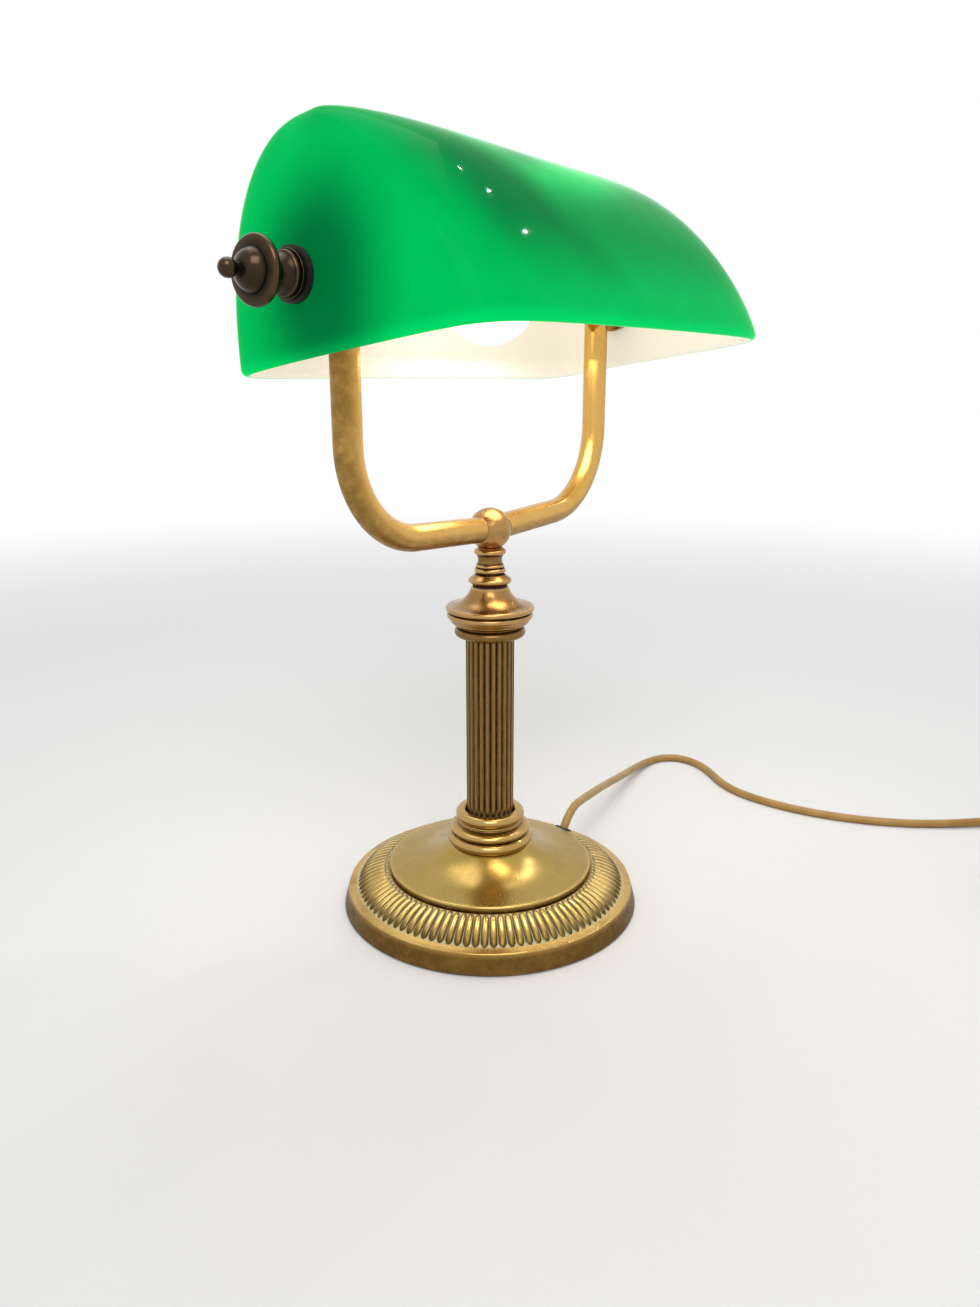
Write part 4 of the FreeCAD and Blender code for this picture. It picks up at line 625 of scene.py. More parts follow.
CAST_IRON = PlainFinish("cast_iron", "2B2A29", "3A3633", rough=0.75, metal=0.6, relief=0.5)
LEAD_SHEATH = PlainFinish("lead_sheath", "C6AE76", "B59D64", rough=0.5)
FELT = PlainFinish("felt", "1D1C1C", "272525", rough=0.95, grain=2600, relief=0.8)
FIBRE = PlainFinish("fibre", "24211F", "312B27", rough=0.7, relief=0.3)
PORCELAIN = PlainFinish("porcelain", "ECE8DD", "E2DCCD", rough=0.22, relief=0.02, coat=0.4)
SWITCH_PLASTIC = PlainFinish("switch_plastic", "241D19", "2E2520", rough=0.35, relief=0.05)
PLUG_PLASTIC = PlainFinish("plug_plastic", "171717", "1E1D1D", rough=0.38, relief=0.12)
BLACK_RUBBER = PlainFinish("black_rubber", "141414", "1E1D1C", rough=0.55, relief=0.15)
GOLD_FLEX = PlainFinish("gold_flex", "A9823F", "99722F", rough=0.34, scale=60, grain=1500, relief=0.06)


# ---------------------------------------------------------------- base and column


def settle(piece: bpy.types.Object, finish: Finish, body: str, slot: str,
           *nodes: str) -> bpy.types.Object:
    """Dresses a new piece, puts it on its body and lets it stand for its CAD nodes.

    Args:
        piece: the piece, in place.
        finish: its finish.
        body: the body that it rides on.
        slot: the record's material slot; not used.
        nodes: the CAD nodes that it stands for.

    Returns:
        The piece.
    """
    piece.data.materials.append(finish.material())
    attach(piece, body)
    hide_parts(*nodes)
    log.info("%s stands for %s", piece.name, ", ".join(nodes))
    return piece


def settle_on_stand(piece: bpy.types.Object, finish: Finish, node: str) -> bpy.types.Object:
    """Settles a brass piece of the base or the column."""
    return settle(piece, finish, "stand", "brass_base", node)


@dataclass
class Base:
    """Spun base with its gadrooned band, and the swept dome on it."""

    shell: Outline = Outline((
        (80, 0.8), (77.4, 10.2, 0.825), (76.3, 11), (72.8, 11.8), (72.2, 11), (56, 20), (49, 20),
        (49, 18.8), (55.7, 18.8), (71.6, 9.8), (75.84, 9.8), (78.8, 0.8)))
    dome: Outline = Outline((
        (55, 20), (55, 22.4, 0.8), (54.2, 23.2), (44, 24.6, -44), (21.5, 34), (5.3, 34), (5.3, 32.8),
        (20.9, 32.8, 44), (43.7, 23.4), (53.8, 22), (53.8, 20)))
    lobes: int = 100
    lobe_samples: int = 12
    lobe_rows: int = 25
    half_width: float = 0.465  # of a lobe at the top, as a share of the pitch
    widening: float = 0.03  # what the half width gains down to the foot
    fullness: float = 2.6  # exponent of a lobe's section
    band_top: Corner = (56.3, 19.85)
    band_slope: float = 29.05
    band_length: float = 18.1
    crest: float = 2.4
    skin: float = 0.1
    buried: float = 0.5
    channel_radius: float = 72.2
    groove_radius: float = 72.0
    ledge_radius: float = 72.6
    ledge_height: float = 10.1
    wall_top: float = 10.2
    bead_foot: Corner = (53.0, 22.2)

    def band(self) -> bpy.types.Object:
        """The ring of thumb-shaped lobes on the slope.

        Along the slope a lobe's crest follows an arch, and across it half an ellipse, both within a
        plan that is narrow at the top and closes in a rounded tip at each end. Between the lobes the
        ground stays a skin above the shell. Two hidden rows below the shell's face close the ring.
        """
        slope = math.radians(self.band_slope)

        def on_slope(run: Array, rise: Array | float) -> tuple[Array, Array]:
            """Radius and height of points a run down the slope and a rise off it."""
            return (self.band_top[0] + run * math.cos(slope) + rise * math.sin(slope),
                    self.band_top[1] - run * math.sin(slope) + rise * math.cos(slope))

        share = 0.5 - 0.5 * np.cos(np.linspace(0, math.pi, self.lobe_rows))[:, None]
        angle = round_angles(self.lobes * self.lobe_samples)[None]
        across = (angle * self.lobes / TURN) % 1 - 0.5
        ends = np.clip(1 - np.abs(2 * share - 1) ** 7, 0, 1) ** 0.5
        width = (self.half_width + self.widening * share) * ends + 1e-4
        lobe = np.sqrt(np.clip(1 - np.abs(across / width) ** self.fullness, 0, 1))
        arch = 0.35 + 0.65 * np.sin(math.pi * share ** 1.2) ** 0.75
        face = on_slope(share * self.band_length, self.skin + self.crest * arch * lobe * ends ** 0.6)
        hidden = on_slope(np.array([[self.band_length], [0.0]]) + np.zeros_like(angle), -self.buried)
        radius, height = (np.vstack([under[:1], over[::-1], under[1:]])
                          for under, over in zip(hidden, face))
        low = smoothstep((share - 0.5) / 0.45)
        # Painted shade darkens the lobes' flanks and lower ends, as lit from above; polishing brightens
        # the lobe tops except at the lower ends; the band's top row is darker; dried polish fills the
        # grooves.
        wear_and_shade = {"hollow": (1 - lobe) ** 0.7 + 0.5 * (share < 0.08) + 0.75 * low * lobe,
                "crest": lobe ** 6 * (1 - low),
                "residue": (1 - lobe) ** 3 * (0.75 + 0.45 * low)}
        pad = np.zeros_like(angle)
        return build_mesh("gadroon_band", about_axis(radius, height, angle),
                          grid_faces(len(radius), angle.size, True, True),
                          {label: np.vstack([pad, values[::-1], pad]).ravel()
                           for label, values in wear_and_shade.items()})

    def channel(self, radius: Array, height: Array, angle: Array) -> Marks:
        """Dried polish in the channel, a bell over the radius, a painted highlight along the base's top
        edge and a darker wall.
        """
        dried = 1.1 * np.exp(-((radius - self.channel_radius) / 0.75) ** 2) * (height > 10.5)
        groove = 0.8 * np.exp(-((radius - self.groove_radius) / 0.5) ** 2)
        # painted highlight along the base's top edge, through the crest attribute
        ledge_highlight = smoothstep((height - self.ledge_height) / 0.7) * (radius > self.ledge_radius)
        return {"residue": dried, "crest": 0.8 * ledge_highlight,
                "hollow": 0.58 * smoothstep((self.wall_top - height) / 1.2) + groove}

    def rim(self, radius: Array, height: Array, angle: Array) -> Marks:
        """Tarnish in the dome's own edge groove: everything below its bead."""
        inside, top = self.bead_foot
        return {"hollow": np.clip((top - height) / 1.2, 0, 1) * (radius > inside),
                "residue": radius * 0}

    def build(self) -> None:
        """Builds and dresses the shell, the band and the dome."""
        settle_on_stand(lathe("spun_base", self.shell, 192, marks=self.channel), BASE_BRASS, "base_shell")
        settle_on_stand(self.band(), BAND_BRASS, "base_shell")
        settle_on_stand(lathe("swept_dome", self.dome, 192, marks=self.rim), DOME_BRASS, "dome_plate")


@dataclass
class Column:
    """Beaded collar, holder cup, reeded tube and capital."""

    collar: Outline = Outline((
        (5.3, 34), (21, 34), (21, 34.2, 2.86), (21, 39.7), (20, 40.4), (20.2, 40.6, 1.87), (20.2, 44.2),
        (16.9, 45.3), (16.2, 46), (13, 46), (13, 37), (5.3, 37)), ease=0.16)
    cup: Outline = Outline((
        (5.3, 46), (16.2, 46), (16, 47.3), (16.4, 47.5, 2.86), (16.4, 53), (14.2, 53.2), (13.1, 52.2),
        (13.1, 49.5), (5.3, 49.5)), ease=0.16)
    shaft: Outline = Outline(((10.6, 49.5), (11.7, 49.5), (11.7, 151.8), (10.6, 151.8)), ease=0.1)
    ring: Outline = Outline((
        (13.1, 149.2), (16, 149.2), (16.6, 149.4, 2.5), (16.6, 154.2), (17.3, 155), (13.9, 155),
        (13.9, 158), (11.5, 158), (11.5, 155), (5.3, 155), (5.3, 152), (13.1, 152)), ease=0.16)
    cap: Outline = Outline((
        (14.1, 155), (17.6, 155), (17.9, 155.6), (19.8, 156.6), (20.3, 157.6), (21.2, 158.6),
        (21.4, 159.2, 1.61), (21.9, 161.6), (21.3, 162.2), (22.3, 162.9, 1.5), (22.2, 165.4, -13),
        (9.65, 175), (9.65, 175.3), (6.05, 175.3), (6.05, 169.2), (8.85, 169.2), (14.1, 163.5)), ease=0.16)
    reeds: int = 24
    reed_radius: float = 1.62
    reed_circle: float = 11.08
    valley: float = 11.7  # radius of the plain tube between the reeds
    bore_limit: float = 11.3
    foot_top: float = 54.6
    head_start: float = 147.5
    reed_samples: int = 14
    seed: int = 7

    def reeded(self, radius: Array, height: Array, angle: Array) -> Array:
        """Radii of the reeded tube.

        Outside the bore each reed is a circle: its far side lies at d cos(a) + sqrt(R^2 - d^2 sin(a)^2)
        for the angle a from its middle. Each reed's foot is pinched in by its own small amount, and
        all heads by the same.
        """
        pitch = TURN / self.reeds
        away = (angle + pitch / 2) % pitch - pitch / 2
        side = self.reed_circle * np.sin(away)
        reach = np.sqrt(np.clip(self.reed_radius ** 2 - side ** 2, 0, None))
        reed = self.reed_circle * np.cos(away) + reach
        pinch = np.random.default_rng(self.seed).uniform(0.15, 0.75, self.reeds + 1)
        number = np.round(angle / pitch).astype(int) % self.reeds
        foot = np.clip((self.foot_top - height) / 1.6, 0, 1) ** 2 * pinch[number]
        head = np.clip((height - self.head_start) / 1.7, 0, 1) ** 2 * 0.35
        return np.where(radius > self.bore_limit, np.maximum(reed, self.valley) - foot - head, radius)

    def valleys(self, radius: Array, height: Array, angle: Array) -> Marks:
        """Tarnish in the valleys between reeds, by depth, and dried polish at the reeds' feet."""
        depth = np.clip((self.valley + 0.75 - radius) / 0.7, 0, 1)
        foot = np.clip((self.foot_top + 0.9 - height) / 2.5, 0, 1)
        return {"hollow": depth * 0.95, "crest": np.clip((radius - 12.5) / 0.2, 0, 1) * 0.6,
                "residue": foot * depth * 0.55}

    def build(self) -> None:
        """Builds and dresses the column's pieces from the bottom up."""
        settle_on_stand(lathe("beaded_collar", self.collar), BEAD_BRASS, "lower_collar")
        settle_on_stand(lathe("column_holder_cup", self.cup), BEAD_BRASS, "column_cup")
        shaft = lathe("reeded_column", self.shaft, self.reeds * self.reed_samples, swell=self.reeded,
                      marks=self.valleys)
        settle_on_stand(shaft, COLUMN_BRASS, "column")
        # The bead ring under the cap takes the darker column brass: painted shade.
        settle_on_stand(lathe("capital_bead_ring", self.ring), COLUMN_BRASS, "capital_ring")
        settle_on_stand(lathe("capital_swept_cap", self.cap, 160), CAPITAL_BRASS, "capital_cap")


# ---------------------------------------------------------------- yoke


@dataclass
class Yoke:
    """Turned neck, ball and the two bent arms."""

    foot: float = 176.0
    neck_corners: tuple[Corner, ...] = (
        (8.4, 176), (10.6, 177.5, 1.32), (10.4, 179.7), (7.6, 181.6), (7, 182.2), (7.2, 182.4, 1.25),
        (7.2, 184.8), (6.7, 185.1, 0.88), (6.6, 186.8, -5), (7, 191.8, 1.35), (7.3, 194.4), (6.2, 195.4))
    ball: Outline = Outline(((0, 195.4), (5.63, 195.4, 10.7), (0, 215.2)), ease=0.12, coarse=1.2)
    ball_height: float = 204.5
    arm_radius: float = 6.35
    arm_rise: float = 2.8
    arm_bend: float = 44.0
    half_span: float = 98.97
    arm_top: float = 306.5
    arm_start: float = 3.0  # inside the ball
    socket: float = 8.2  # the arm shows from here on, measured along it from the ball's middle
    socket_step: float = 0.45  # how much thinner the tube is in the socket

    def arm_path(self) -> tuple[Array, Array]:
        """The right arm's centre line and its radii.

        A straight run rises from the ball, an arc of the bend radius turns it upright and a straight
        run ends at the cross head. Beside the ball the tube is a little thinner, which leaves the
        socket's line.
        """
        rise = math.radians(self.arm_rise)
        way = np.array([math.cos(rise), math.sin(rise)])
        middle = self.half_span - self.arm_bend
        enter = middle + self.arm_bend * math.sin(rise)
        up = self.ball_height + enter * math.tan(rise)
        level = up + self.arm_bend * math.cos(rise)
        reach = enter / math.cos(rise)
        fine = np.arange(self.arm_start, self.socket + 2.6, 0.2)
        marks = np.concatenate([fine, np.linspace(self.socket + 4, reach, 12)])
        start = np.array([0, self.ball_height]) + marks[:, None] * way
        turn = np.linspace(rise - math.pi / 2, 0, 40)[1:, None]
        arc = np.array([middle, level]) + self.arm_bend * np.hstack([np.cos(turn), np.sin(turn)])
        tall = np.linspace(level, self.arm_top, 10)[1:, None]
        upright = np.hstack([np.full_like(tall, self.half_span), tall])
        flat = np.vstack([start, arc, upright])
        radius = np.full(len(flat), self.arm_radius)
        radius[:len(marks)] -= self.socket_step * smoothstep((self.socket + 1.55 - marks) / 0.5)
        return np.column_stack([flat[:, 0], np.zeros(len(flat)), flat[:, 1]]), radius

    def build(self) -> None:
        """Builds and dresses the neck, the ball and the arms."""
        low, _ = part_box("neck")
        shank = low.z / MM
        neck = Outline(((0, shank), (5.95, shank), (5.95, self.foot), *self.neck_corners, (0, 195.4)),
                       ease=0.14)
        path, radius = self.arm_path()
        across = np.array([0, 1.0, 0])
        for piece, finish, node in (
                (lathe("turned_neck", neck, 96), CAPITAL_BRASS, "neck"),
                (lathe("fork_ball", self.ball, 96), COPPERY_BRASS, "yoke_ball"),
                (tube("yoke_tube_right", path, radius, across, 1), GOLDEN_BRASS, "arm_right"),
                (tube("yoke_tube_left", path * [-1, 1, 1], radius, across, -1), GOLDEN_BRASS, "arm_left")):
            settle(piece, finish, "yoke", "brass_yoke", node)


# ---------------------------------------------------------------- shade


@dataclass
class Shade:
    """Cased glass shade: green outside and white inside, closed in a soft ridge.

    Heights are shares of the shade's own height; the pivot is the origin of its level place.
    """

    front: float = 89.0
    back: float = 49.3
    half_length: float = 125.0
    top_half_length: float = 97.5
    height: float = 93.48
    drop: float = 30.7
    saddle: float = 0.02
    wall: float = 4.0
    tilt: float = 8.5
    around: int = 288
    rows: int = 56
    rim_steps: int = 8
    seat: float = 123.97
    seat_radius: float = 12.2
    hub_ends: float = 70.0  # nearer to the middle than this, nothing shades the glass
    unshaded: float = 200.0

    def skin(self, inset: float, start: float) -> Array:
        """One face of the glass, as rows of points from just above the rim up to the ridge.

        The share t of the height runs as the sine of even angles. At each, the plan is a rounded oblong
        |x/X|^n + |y/Y|^n = 1 with n = 9 - 5t: X shrinks as 27.5 (1 - t^2)^0.4 + 97.5, Y as
        89 (1 - t^1.4)^(1/2.1) in front and as 49.3 (1 - t^2.9)^(1/4) behind. The roof sags in its
        middle with t^2. At t = 1 the plan closes in the ridge.

        Args:
            inset: how far the face lies inside the outer one.
            start: share of the height of the first row.

        Returns:
            Points in millimetres, an array of rows, columns and (x, y, z).
        """
        first = math.asin(start)
        share = np.sin(np.linspace(first, math.pi / 2, self.rows))[:, None]
        share[-1] = 1.0
        angle = round_angles(self.around)[None]
        across, along = np.cos(angle), np.sin(angle)
        power = 9 - 5 * share
        scale = (np.abs(across) ** power + np.abs(along) ** power) ** (-1 / power)
        front = (self.front - inset) * (1 - share ** 1.4) ** (1 / 2.1)
        back = (self.back - inset) * (1 - share ** 2.9) ** 0.25
        bulge = (self.half_length - self.top_half_length) * (1 - share ** 2) ** 0.4
        reach = self.top_half_length - inset + bulge
        sag = self.saddle * share ** 2 * (1 - (across * scale) ** 2) * self.height
        x = reach * across * scale
        y = -np.where(along > 0, front, back) * along * scale
        z = (self.height - inset) * share - self.drop - sag
        return np.stack([x, y, z + np.zeros_like(x)], axis=-1)

    def mesh_faces(self, rows: int, lid: int) -> Array:
        """Faces of one skin whose last row is closed: its points j and N - j are the same one.

        Args:
            rows: rows of the skin.
            lid: number of its first point.

        Returns:
            Rows of four point numbers.
        """
        faces = grid_faces(rows, self.around, False, True) + lid
        last = lid + (rows - 1) * self.around
        column = faces - last
        return np.where(column > self.around // 2, last + self.around - column, faces)

    def build(self) -> bpy.types.Object:
        """Joins both skins by a half-round rim, tilts the shade on its pivot and dresses it."""
        start = self.wall / 2 / self.height
        outer, inner = self.skin(0, start), self.skin(self.wall, start)
        near = np.hypot(outer[..., 1], outer[..., 2])
        held = np.clip(outer[..., 0], -self.seat, self.seat)
        outer[..., 0] += (held - outer[..., 0]) * (1 - smoothstep((near - self.seat_radius) / 2))
        middle, half = (outer[0] + inner[0]) / 2, (outer[0] - inner[0]) / 2
        turn = np.linspace(0, math.pi, self.rim_steps + 1)[1:-1, None, None]
        depth = np.linalg.norm(half, axis=-1, keepdims=True)
        rim = middle + half * np.cos(turn) - np.array([0, 0, 1.0]) * depth * np.sin(turn)
        count = self.around
        points = np.vstack([item.reshape(-1, 3) for item in (outer, rim, inner)])
        rim_start = self.rows * count
        inner_start = rim_start + len(rim) * count
        ring = np.arange(count)
        loops = np.vstack([ring, rim_start + np.arange(len(rim) * count).reshape(-1, count),
                           inner_start + ring])
        beside = np.roll(loops, -1, axis=1)
        strip = np.stack([loops[:-1], beside[:-1], beside[1:], loops[1:]], -1)
        faces = np.vstack([self.mesh_faces(self.rows, 0)[:, ::-1], strip.reshape(-1, 4),
                           self.mesh_faces(self.rows, inner_start)])
        green = rim_start + self.rim_steps // 2 * count
        lining = np.concatenate([np.zeros(green), np.ones(len(points) - green)])
        tilt = math.radians(self.tilt)
        along, forward, up = points[:, 0], -points[:, 1], points[:, 2]
        shaded = np.hypot(forward - 12, up * np.where(up < 0, 0.5, 0.9))
        placed = np.column_stack([along, -(forward * math.cos(tilt) - up * math.sin(tilt)),
                                  PIVOT_HEIGHT + forward * math.sin(tilt) + up * math.cos(tilt)])
        marks = {"lining": lining, "edge": 1 - smoothstep((up + self.drop) / 6.0),
                 "hub": np.where(np.abs(along) > self.hub_ends, shaded, self.unshaded),
                 "level": up, "along": along, "facing": smoothstep((forward + 4) / 14)}
        piece = build_mesh("cased_shade", placed, faces, marks)
        return settle(piece, CasedGlass(), "shade", "green_glass", "shade_glass")


@dataclass(frozen=True)
class CasedGlass(Finish):
    """Lit cased glass: an emerald skin over a white lining."""

    name: str = "cased_green_glass"

    def paint(self, tree: Tree, shader: bpy.types.Node) -> None:
        """Links the skin and the lining, both glowing with the light of the lamp inside, to the shader.

        The lamp inside makes the skin glow. The glow is weaker round the hub, where the lampholder
        shades it, in a soft dip down the near part of the long slope and towards the far end, and
        stronger in a patch below the ridge and along the rim. The numbers are millimetres along the
        pivot and above it, and shares of the glow.
        """
        place = tree.place()
        cloud = tree.noise(place, 11, 3, 0.5)
        fine = tree.noise(place, 60, 3, 0.5)
        along, level, facing = (tree.attribute(name) for name in ("along", "level", "facing"))
        warped = tree.scaled(tree.less(cloud, 0.5), 22, along)
        falling = tree.scaled(tree.less(level, 15), 0.6, warped)
        rising = tree.scaled(tree.less(level, 40), -2.5, warped)
        dip = tree.product(tree.spread(warped, -122, -84), tree.spread(level, -28, 16),
                           tree.spread(falling, -24, -62), tree.spread(level, 30, 54, 1.0, 0.6), facing)
        patch = tree.product(tree.spread(rising, -52, -8), tree.spread(rising, 66, 10),
                             tree.spread(level, 14, 34))
        far = tree.product(tree.spread(warped, -64, -26), tree.spread(level, -26, 12),
                           tree.less(1.0, patch))
        hub = tree.spread(tree.attribute("hub"), 10, 46, 0.25, 1.0)
        glow = tree.product(hub, tree.scaled(dip, -0.7, 1.0), tree.scaled(far, -0.44, 1.0))
        glow = tree.math("ADD", tree.product(patch, tree.spread(level, 24, 44, 0.0, 0.36)), glow)
        glow = tree.product(glow, tree.spread(fine, 0.1, 0.9, 0.94, 1.06))
        glow = tree.scaled(tree.attribute("edge"), 0.35, glow)
        lit = tree.add("Mix", {0: 1.0, 6: (0, 0.47, 0.088, 1), 7: glow}, data_type="RGBA",
                       blend_type="MULTIPLY").outputs[2]
        lining = tree.attribute("lining")
        tree.feed(shader, {"Base Color": tree.mix(lining, (0.0, 0.07, 0.02, 1), linear("E9E7DD")),
                           "Emission Color": tree.mix(lining, lit, (0.27, 0.258, 0.212, 1)),
                           "Emission Strength": 1.0, "IOR": 1.04,
                           "Roughness": tree.spread(tree.noise(place, 30, 2), 0.2, 0.8, 0.04, 0.08)})
        tree.relief(shader, tree.noise(place, 14, 2, 0.4), 0.12, 0.004)


# ---------------------------------------------------------------- finials


@dataclass
class Finials:
    """The screw knobs outside the glass."""

    outline: Outline = Outline((
        (0, 7.3), (5.05, 7.3), (5.05, 0), (9.3, 0), (9.3, 2), (8.2, 2, 1.44), (7.6, 4.4, -9), (5.5, 8.6),
        (5.5, 9.6, -7), (9.68, 14.6), (12.1, 15.2, 1.8), (11.8, 18.2), (8.2, 18.8, 9), (2.5, 24.4),
        (2.5, 26.6, 3.6), (0, 32.8)), ease=0.16)
    foot: float = 126.27

    def build(self) -> None:
        """Builds one knob for each end of the pivot."""
        for way, side in ((Pivot.RIGHT, "right"), (Pivot.LEFT, "left")):
            piece = lathe(f"screw_finial_{side}", self.outline, 96, self.foot)
            lay_on_pivot(piece, way)
            settle(piece, DARK_BRONZE, f"finial_{side}_body", "bronze", f"finial_{side}")


# ---------------------------------------------------------------- flex


@dataclass
class Flex:
    """The gold flex: out of the base, over the table, wound into a coil and into its plug."""

    diameter: float = 5.0
    exit: Corner = (60.70, -9.18, 17.92)
    route: tuple[Corner, ...] = (
        (63.34, -9.58, 22.73), (68.6, -9, 26.2), (77, -7.2, 28), (89, -5, 26.6), (109, -0.8, 23.2),
        (137, 5.4, 17.8), (170, 12, 11), (203, 18.2, 5.2), (227, 19.4, 2.5), (239.6, 13.4, 2.5),
        (245.2, 2.6, 2.5), (243.6, -9.6, 2.5), (238, -20.2, 2.5), (229, -30.6, 2.5), (218.6, -42, 2.5),
        (210.4, -57.4, 2.5), (206.4, -78, 2.5), (206.8, -104, 2.5), (212.4, -130, 2.5),
        (222.6, -155.4, 2.5), (236, -177, 2.5), (249.5, -194.5, 3.2), (262.5, -209, 3.6),
        (273, -220.6, 3.6))
    tail: tuple[Corner, ...] = (
        (238, -287.3, 8.6), (222, -282.6, 8.2), (204.7, -275.9, 8), (192, -273, 8), (182.2, -270.9, 8))
    length: float = 1790.0
    coil_centre: Corner = (256, -253.5)
    outer_lane: float = 34.6
    lane: float = 5.15
    floor: float = 3.6
    start_angle: float = 40.0
    turned: float = 2650.0
    points_per_turn: int = 16
    ground_turns: int = 4
    change: float = 0.2  # the share of a turn that a change of lane takes
    climb_start: float = 3.6
    climb_turns: float = 0.22

    def coil_points(self) -> Array:
        """The coil's turns, clockwise from the start angle.

        The ground turns lie on the table, each a lane further in. Late in the last of them the flex
        climbs by one lane, and the upper turns then work outwards again. A change of lane takes the
        end of a turn, with a smooth step.
        """
        count = int(self.turned / 360 * self.points_per_turn) + 1
        turns = np.linspace(0, self.turned / 360, count)
        whole, part = np.floor(turns), turns % 1
        step = whole + smoothstep((part - (1 - self.change)) / self.change)
        inner = self.ground_turns - 1
        outwards = inner - np.clip(step - self.ground_turns, 0, inner)
        lane = np.where(turns < self.ground_turns - self.change, step, outwards)
        climb = smoothstep((turns - self.climb_start) / self.climb_turns)
        radius = self.outer_lane - lane * self.lane
        angle = np.radians(self.start_angle - turns * 360)
        return np.column_stack([self.coil_centre[0] + radius * np.cos(angle),
                                self.coil_centre[1] + radius * np.sin(angle),
                                self.floor + climb * self.lane])

    def build(self) -> bpy.types.Object:
        """Lays the flex as one smooth spline through the route, the coil and the tail as controls."""
        points = np.vstack([[self.exit], self.route, self.coil_points(), self.tail]) * MM
        curve = bpy.data.curves.new("gold_flex", "CURVE")
        curve.dimensions = "3D"
        curve.bevel_depth = self.diameter / 2 * MM
        curve.bevel_resolution = 6
        curve.use_fill_caps = True
        curve.resolution_u = 8
        spline = curve.splines.new("NURBS")
        spline.points.add(len(points) - 1)
        spline.points.foreach_set("co", np.column_stack([points, np.ones(len(points))]).ravel())
        spline.order_u = 3
        spline.use_endpoint_u = True
        piece = new_object("gold_flex", curve)
        curve.materials.append(GOLD_FLEX.material())
        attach(piece, "stand")
        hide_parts("cord", "cord_coil", "cord_tail")
        return piece


# ---------------------------------------------------------------- carried-over pieces


@dataclass(frozen=True)
class LitGlass(Finish):
    """Frosted bulb glass that glows."""

    name: str = "frosted_bulb_glass"

    def paint(self, tree: Tree, shader: bpy.types.Node) -> None:
        """Links a faint cloud in the frosting to the colour and the glow."""
        cloud = tree.spread(tree.noise(tree.place(), 70, 3), 0.3, 0.7)
        tree.feed(shader, {"Base Color": tree.mix(cloud, (1, 0.97, 0.9, 1), (0.95, 0.9, 0.8, 1)),
                           "Emission Color": tree.mix(cloud, (1, 0.93, 0.80, 1), (1, 0.88, 0.70, 1)),
                           "Emission Strength": 1.15, "Roughness": 0.45})


@dataclass
class Fittings:
    """The CAD pieces that keep their shape and get their finish here."""

    finishes: tuple[tuple[Finish, tuple[str, ...]], ...] = (
        (GOLDEN_BRASS, ("arm_head_left", "arm_head_right")),
        (INNER_BRASS, ("pivot_nipples", "lock_nuts", "clamp_plates", "blank_nut", "ball_nipple",
                       "lampholder_cap", "lampholder_barrel", "lampholder_ring", "lampholder_plungers",
                       "bulb_cap", "earth_tag")),
        (BRIGHT_STEEL, ("threaded_rod", "rod_nuts", "rod_washer", "swivel_nut", "spring_washer",
                        "plug_screw")),
        (BLACK_RUBBER, ("cord_grommet", "inner_washers", "outer_washers")),
        (FIBRE, ("swivel_washer", "plug_cord_grip")),
        (CAST_IRON, ("base_weight",)),
        (FELT, ("felt_pad",)),
        (LEAD_SHEATH, ("base_lead", "yoke_lead", "coil_tie")),
        (PORCELAIN, ("lampholder_insert", "plug_fuse")),
        (SWITCH_PLASTIC, ("switch_bar",)),
        (PLUG_PLASTIC, ("plug_cover", "plug_base")),
        (PLUG_PIN_BRASS, ("plug_pins", "plug_earth_pin")),
        (LitGlass(), ("bulb_glass",)))

    def build(self) -> None:
        """Gives each carried-over piece its finish."""
        for finish, names in self.finishes:
            for name in names:
                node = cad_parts[name]
                if not node.material_slots:
                    node.data.materials.append(finish.material())
                for slot in node.material_slots:
                    slot.material = finish.material()
                log.info("%s keeps its shape in %s", name, finish.name)


# ---------------------------------------------------------------- studio


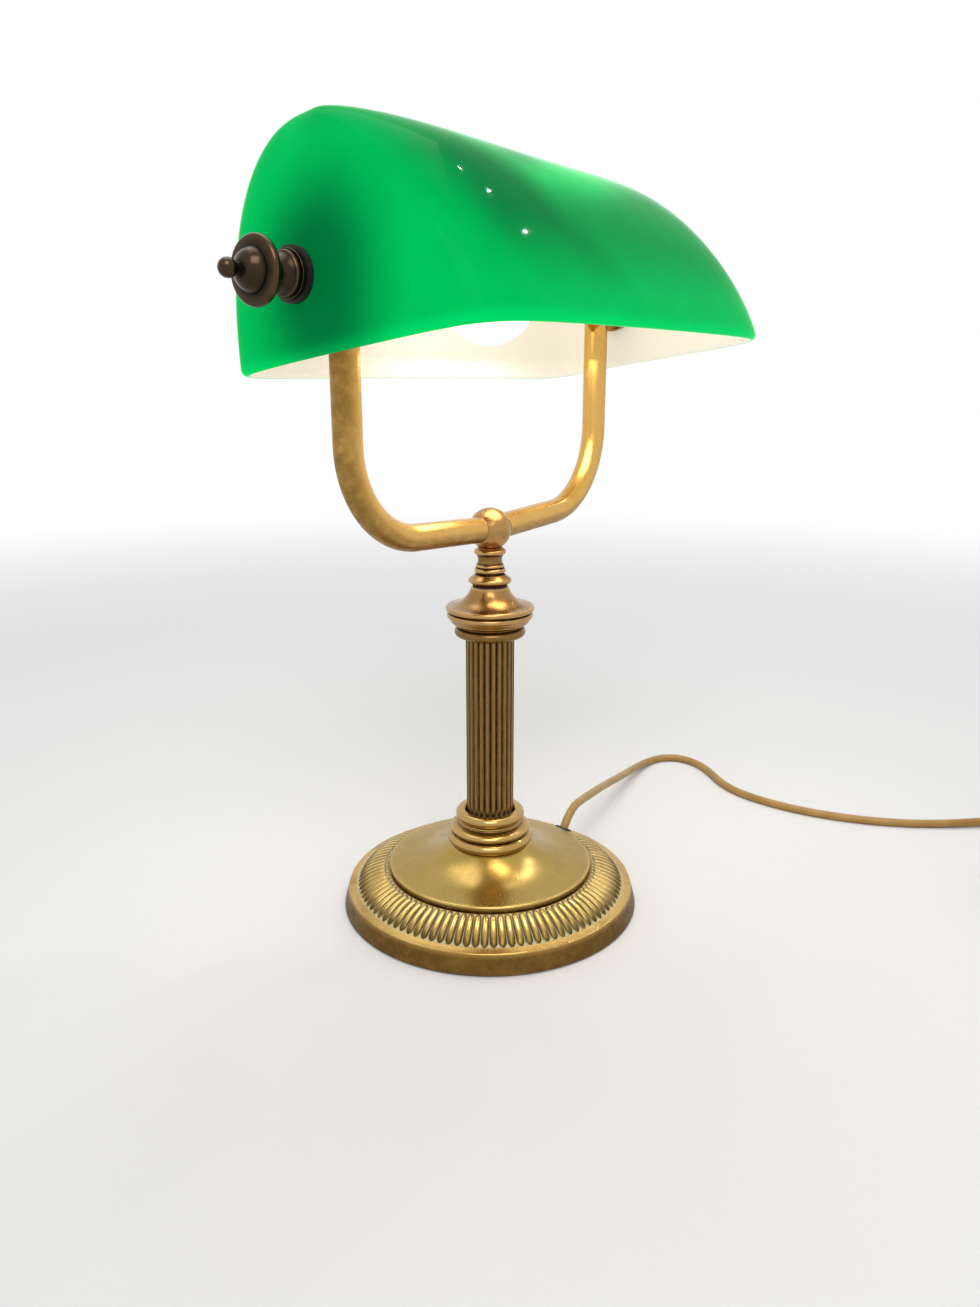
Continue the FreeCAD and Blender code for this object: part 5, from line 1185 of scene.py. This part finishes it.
@dataclass
class Studio:
    """Pale floor, white surroundings, soft lamps and the camera."""

    eye: Corner = (-0.3999, -0.2942, 0.2775)
    heading: Corner = (0.8055, 0.5926)
    pitch: float = -15.54
    lens: float = 27.27
    floor_reach: float = 6.0
    middle: Corner = (0, 0, 0.2)
    bulb: Corner = (0.02, -0.02, 0.288)
    spots: tuple[Corner, ...] = ((1.1, -0.05, 1.5), (1.02, 0.1, 1.62), (1.2, -0.3, 1.35))

    def camera(self) -> None:
        """Sets the camera at the lamp's left front, looking a little down."""
        data = bpy.data.cameras.new("camera")
        data.lens, data.sensor_width = self.lens, 36.0
        data.clip_start = 0.01
        camera = new_object("camera", data)
        camera.location = self.eye
        camera.rotation_euler = (math.radians(90 + self.pitch), 0,
                                 math.atan2(-self.heading[0], self.heading[1]))
        bpy.context.scene.camera = camera

    def floor(self) -> bpy.types.Object:
        """A pale floor that turns white far from the lamp."""
        corners = np.array([[-1, -1, 0], [1, -1, 0], [1, 1, 0], [-1, 1, 0]])
        piece = build_mesh("floor", corners * self.floor_reach / MM, np.array([[0, 1, 2, 3]]))
        material, tree, shader = new_surface("floor")
        tree.feed(shader, {"Base Color": (0.78, 0.78, 0.78, 1), "Roughness": 0.9,
                           "Specular IOR Level": 0.0})
        away = tree.add("VectorMath", {0: tree.place()}, operation="LENGTH").outputs["Value"]
        glow = tree.add("Emission", {"Color": (1, 1, 1, 1), "Strength": 1.0})
        mixed = tree.add("MixShader", {0: tree.spread(away, 0.55, 1.7), 1: shader.outputs[0],
                                       2: glow.outputs[0]})
        tree.feed(tree.find("OUTPUT_MATERIAL"), {"Surface": mixed.outputs[0]})
        piece.data.materials.append(material)
        return piece

    def surroundings(self) -> None:
        """White where the camera, gloss or glass sees it, and an even grey light elsewhere."""
        world = bpy.data.worlds.new("surroundings")
        bpy.context.scene.world = world
        world.use_nodes = True
        tree = Tree(world.node_tree)
        path = tree.add("LightPath").outputs
        seen = tree.math("ADD", path["Is Camera Ray"], path["Is Glossy Ray"], clamp=True)
        seen = tree.math("ADD", seen, path["Is Transmission Ray"], clamp=True)
        strength = tree.add("MapRange", {"Value": seen, "To Min": 0.5, "To Max": 1.0}).outputs["Result"]
        tree.feed(tree.find("BACKGROUND"), {"Strength": strength, "Color": (1, 1, 1, 1)})

    def lamp(self, name: str, place: Corner, target: Corner, size: float, power: float,
             colour: Corner = (1, 1, 1)) -> None:
        """A soft square lamp at a place, turned to a target.

        Args:
            name: its name.
            place: its position in metres.
            target: the point that it faces.
            size: length of its sides in metres.
            power: its power in watts.
            colour: its colour.
        """
        data = bpy.data.lights.new(name, "AREA")
        data.size, data.energy, data.color = size, power, colour
        lamp = new_object(name, data)
        lamp.location = place
        away = np.array(place) - np.array(target)
        lamp.rotation_euler = (math.atan2(math.hypot(away[0], away[1]), away[2]), 0,
                               math.atan2(away[0], -away[1]))

    def build(self) -> None:
        """Builds the whole studio."""
        scene = bpy.context.scene
        scene.view_settings.view_transform = "Standard"
        self.camera()
        self.floor()
        self.surroundings()
        self.lamp("key", (-1.2, -1.0, 1.8), self.middle, 1.2, 20)
        self.lamp("top", (0.3, 0.4, 1.9), self.middle, 1.4, 11)
        self.lamp("bulb_glow", self.bulb, (0.02, -0.0201, 0), 0.09, 0.18, (1, 0.87, 0.66))
        for number, place in enumerate(self.spots, 1):
            self.lamp(f"spot_{number}", place, (0, 0, 0.3), 0.016, 1.0)


def main() -> None:
    """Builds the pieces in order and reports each."""
    logging.basicConfig(level=logging.INFO, format="%(name)s: %(message)s")
    Studio().build()
    Flex().build()
    Base().build()
    Column().build()
    Yoke().build()
    Shade().build()
    Finials().build()
    Fittings().build()


if __name__ == "__main__":
    main()
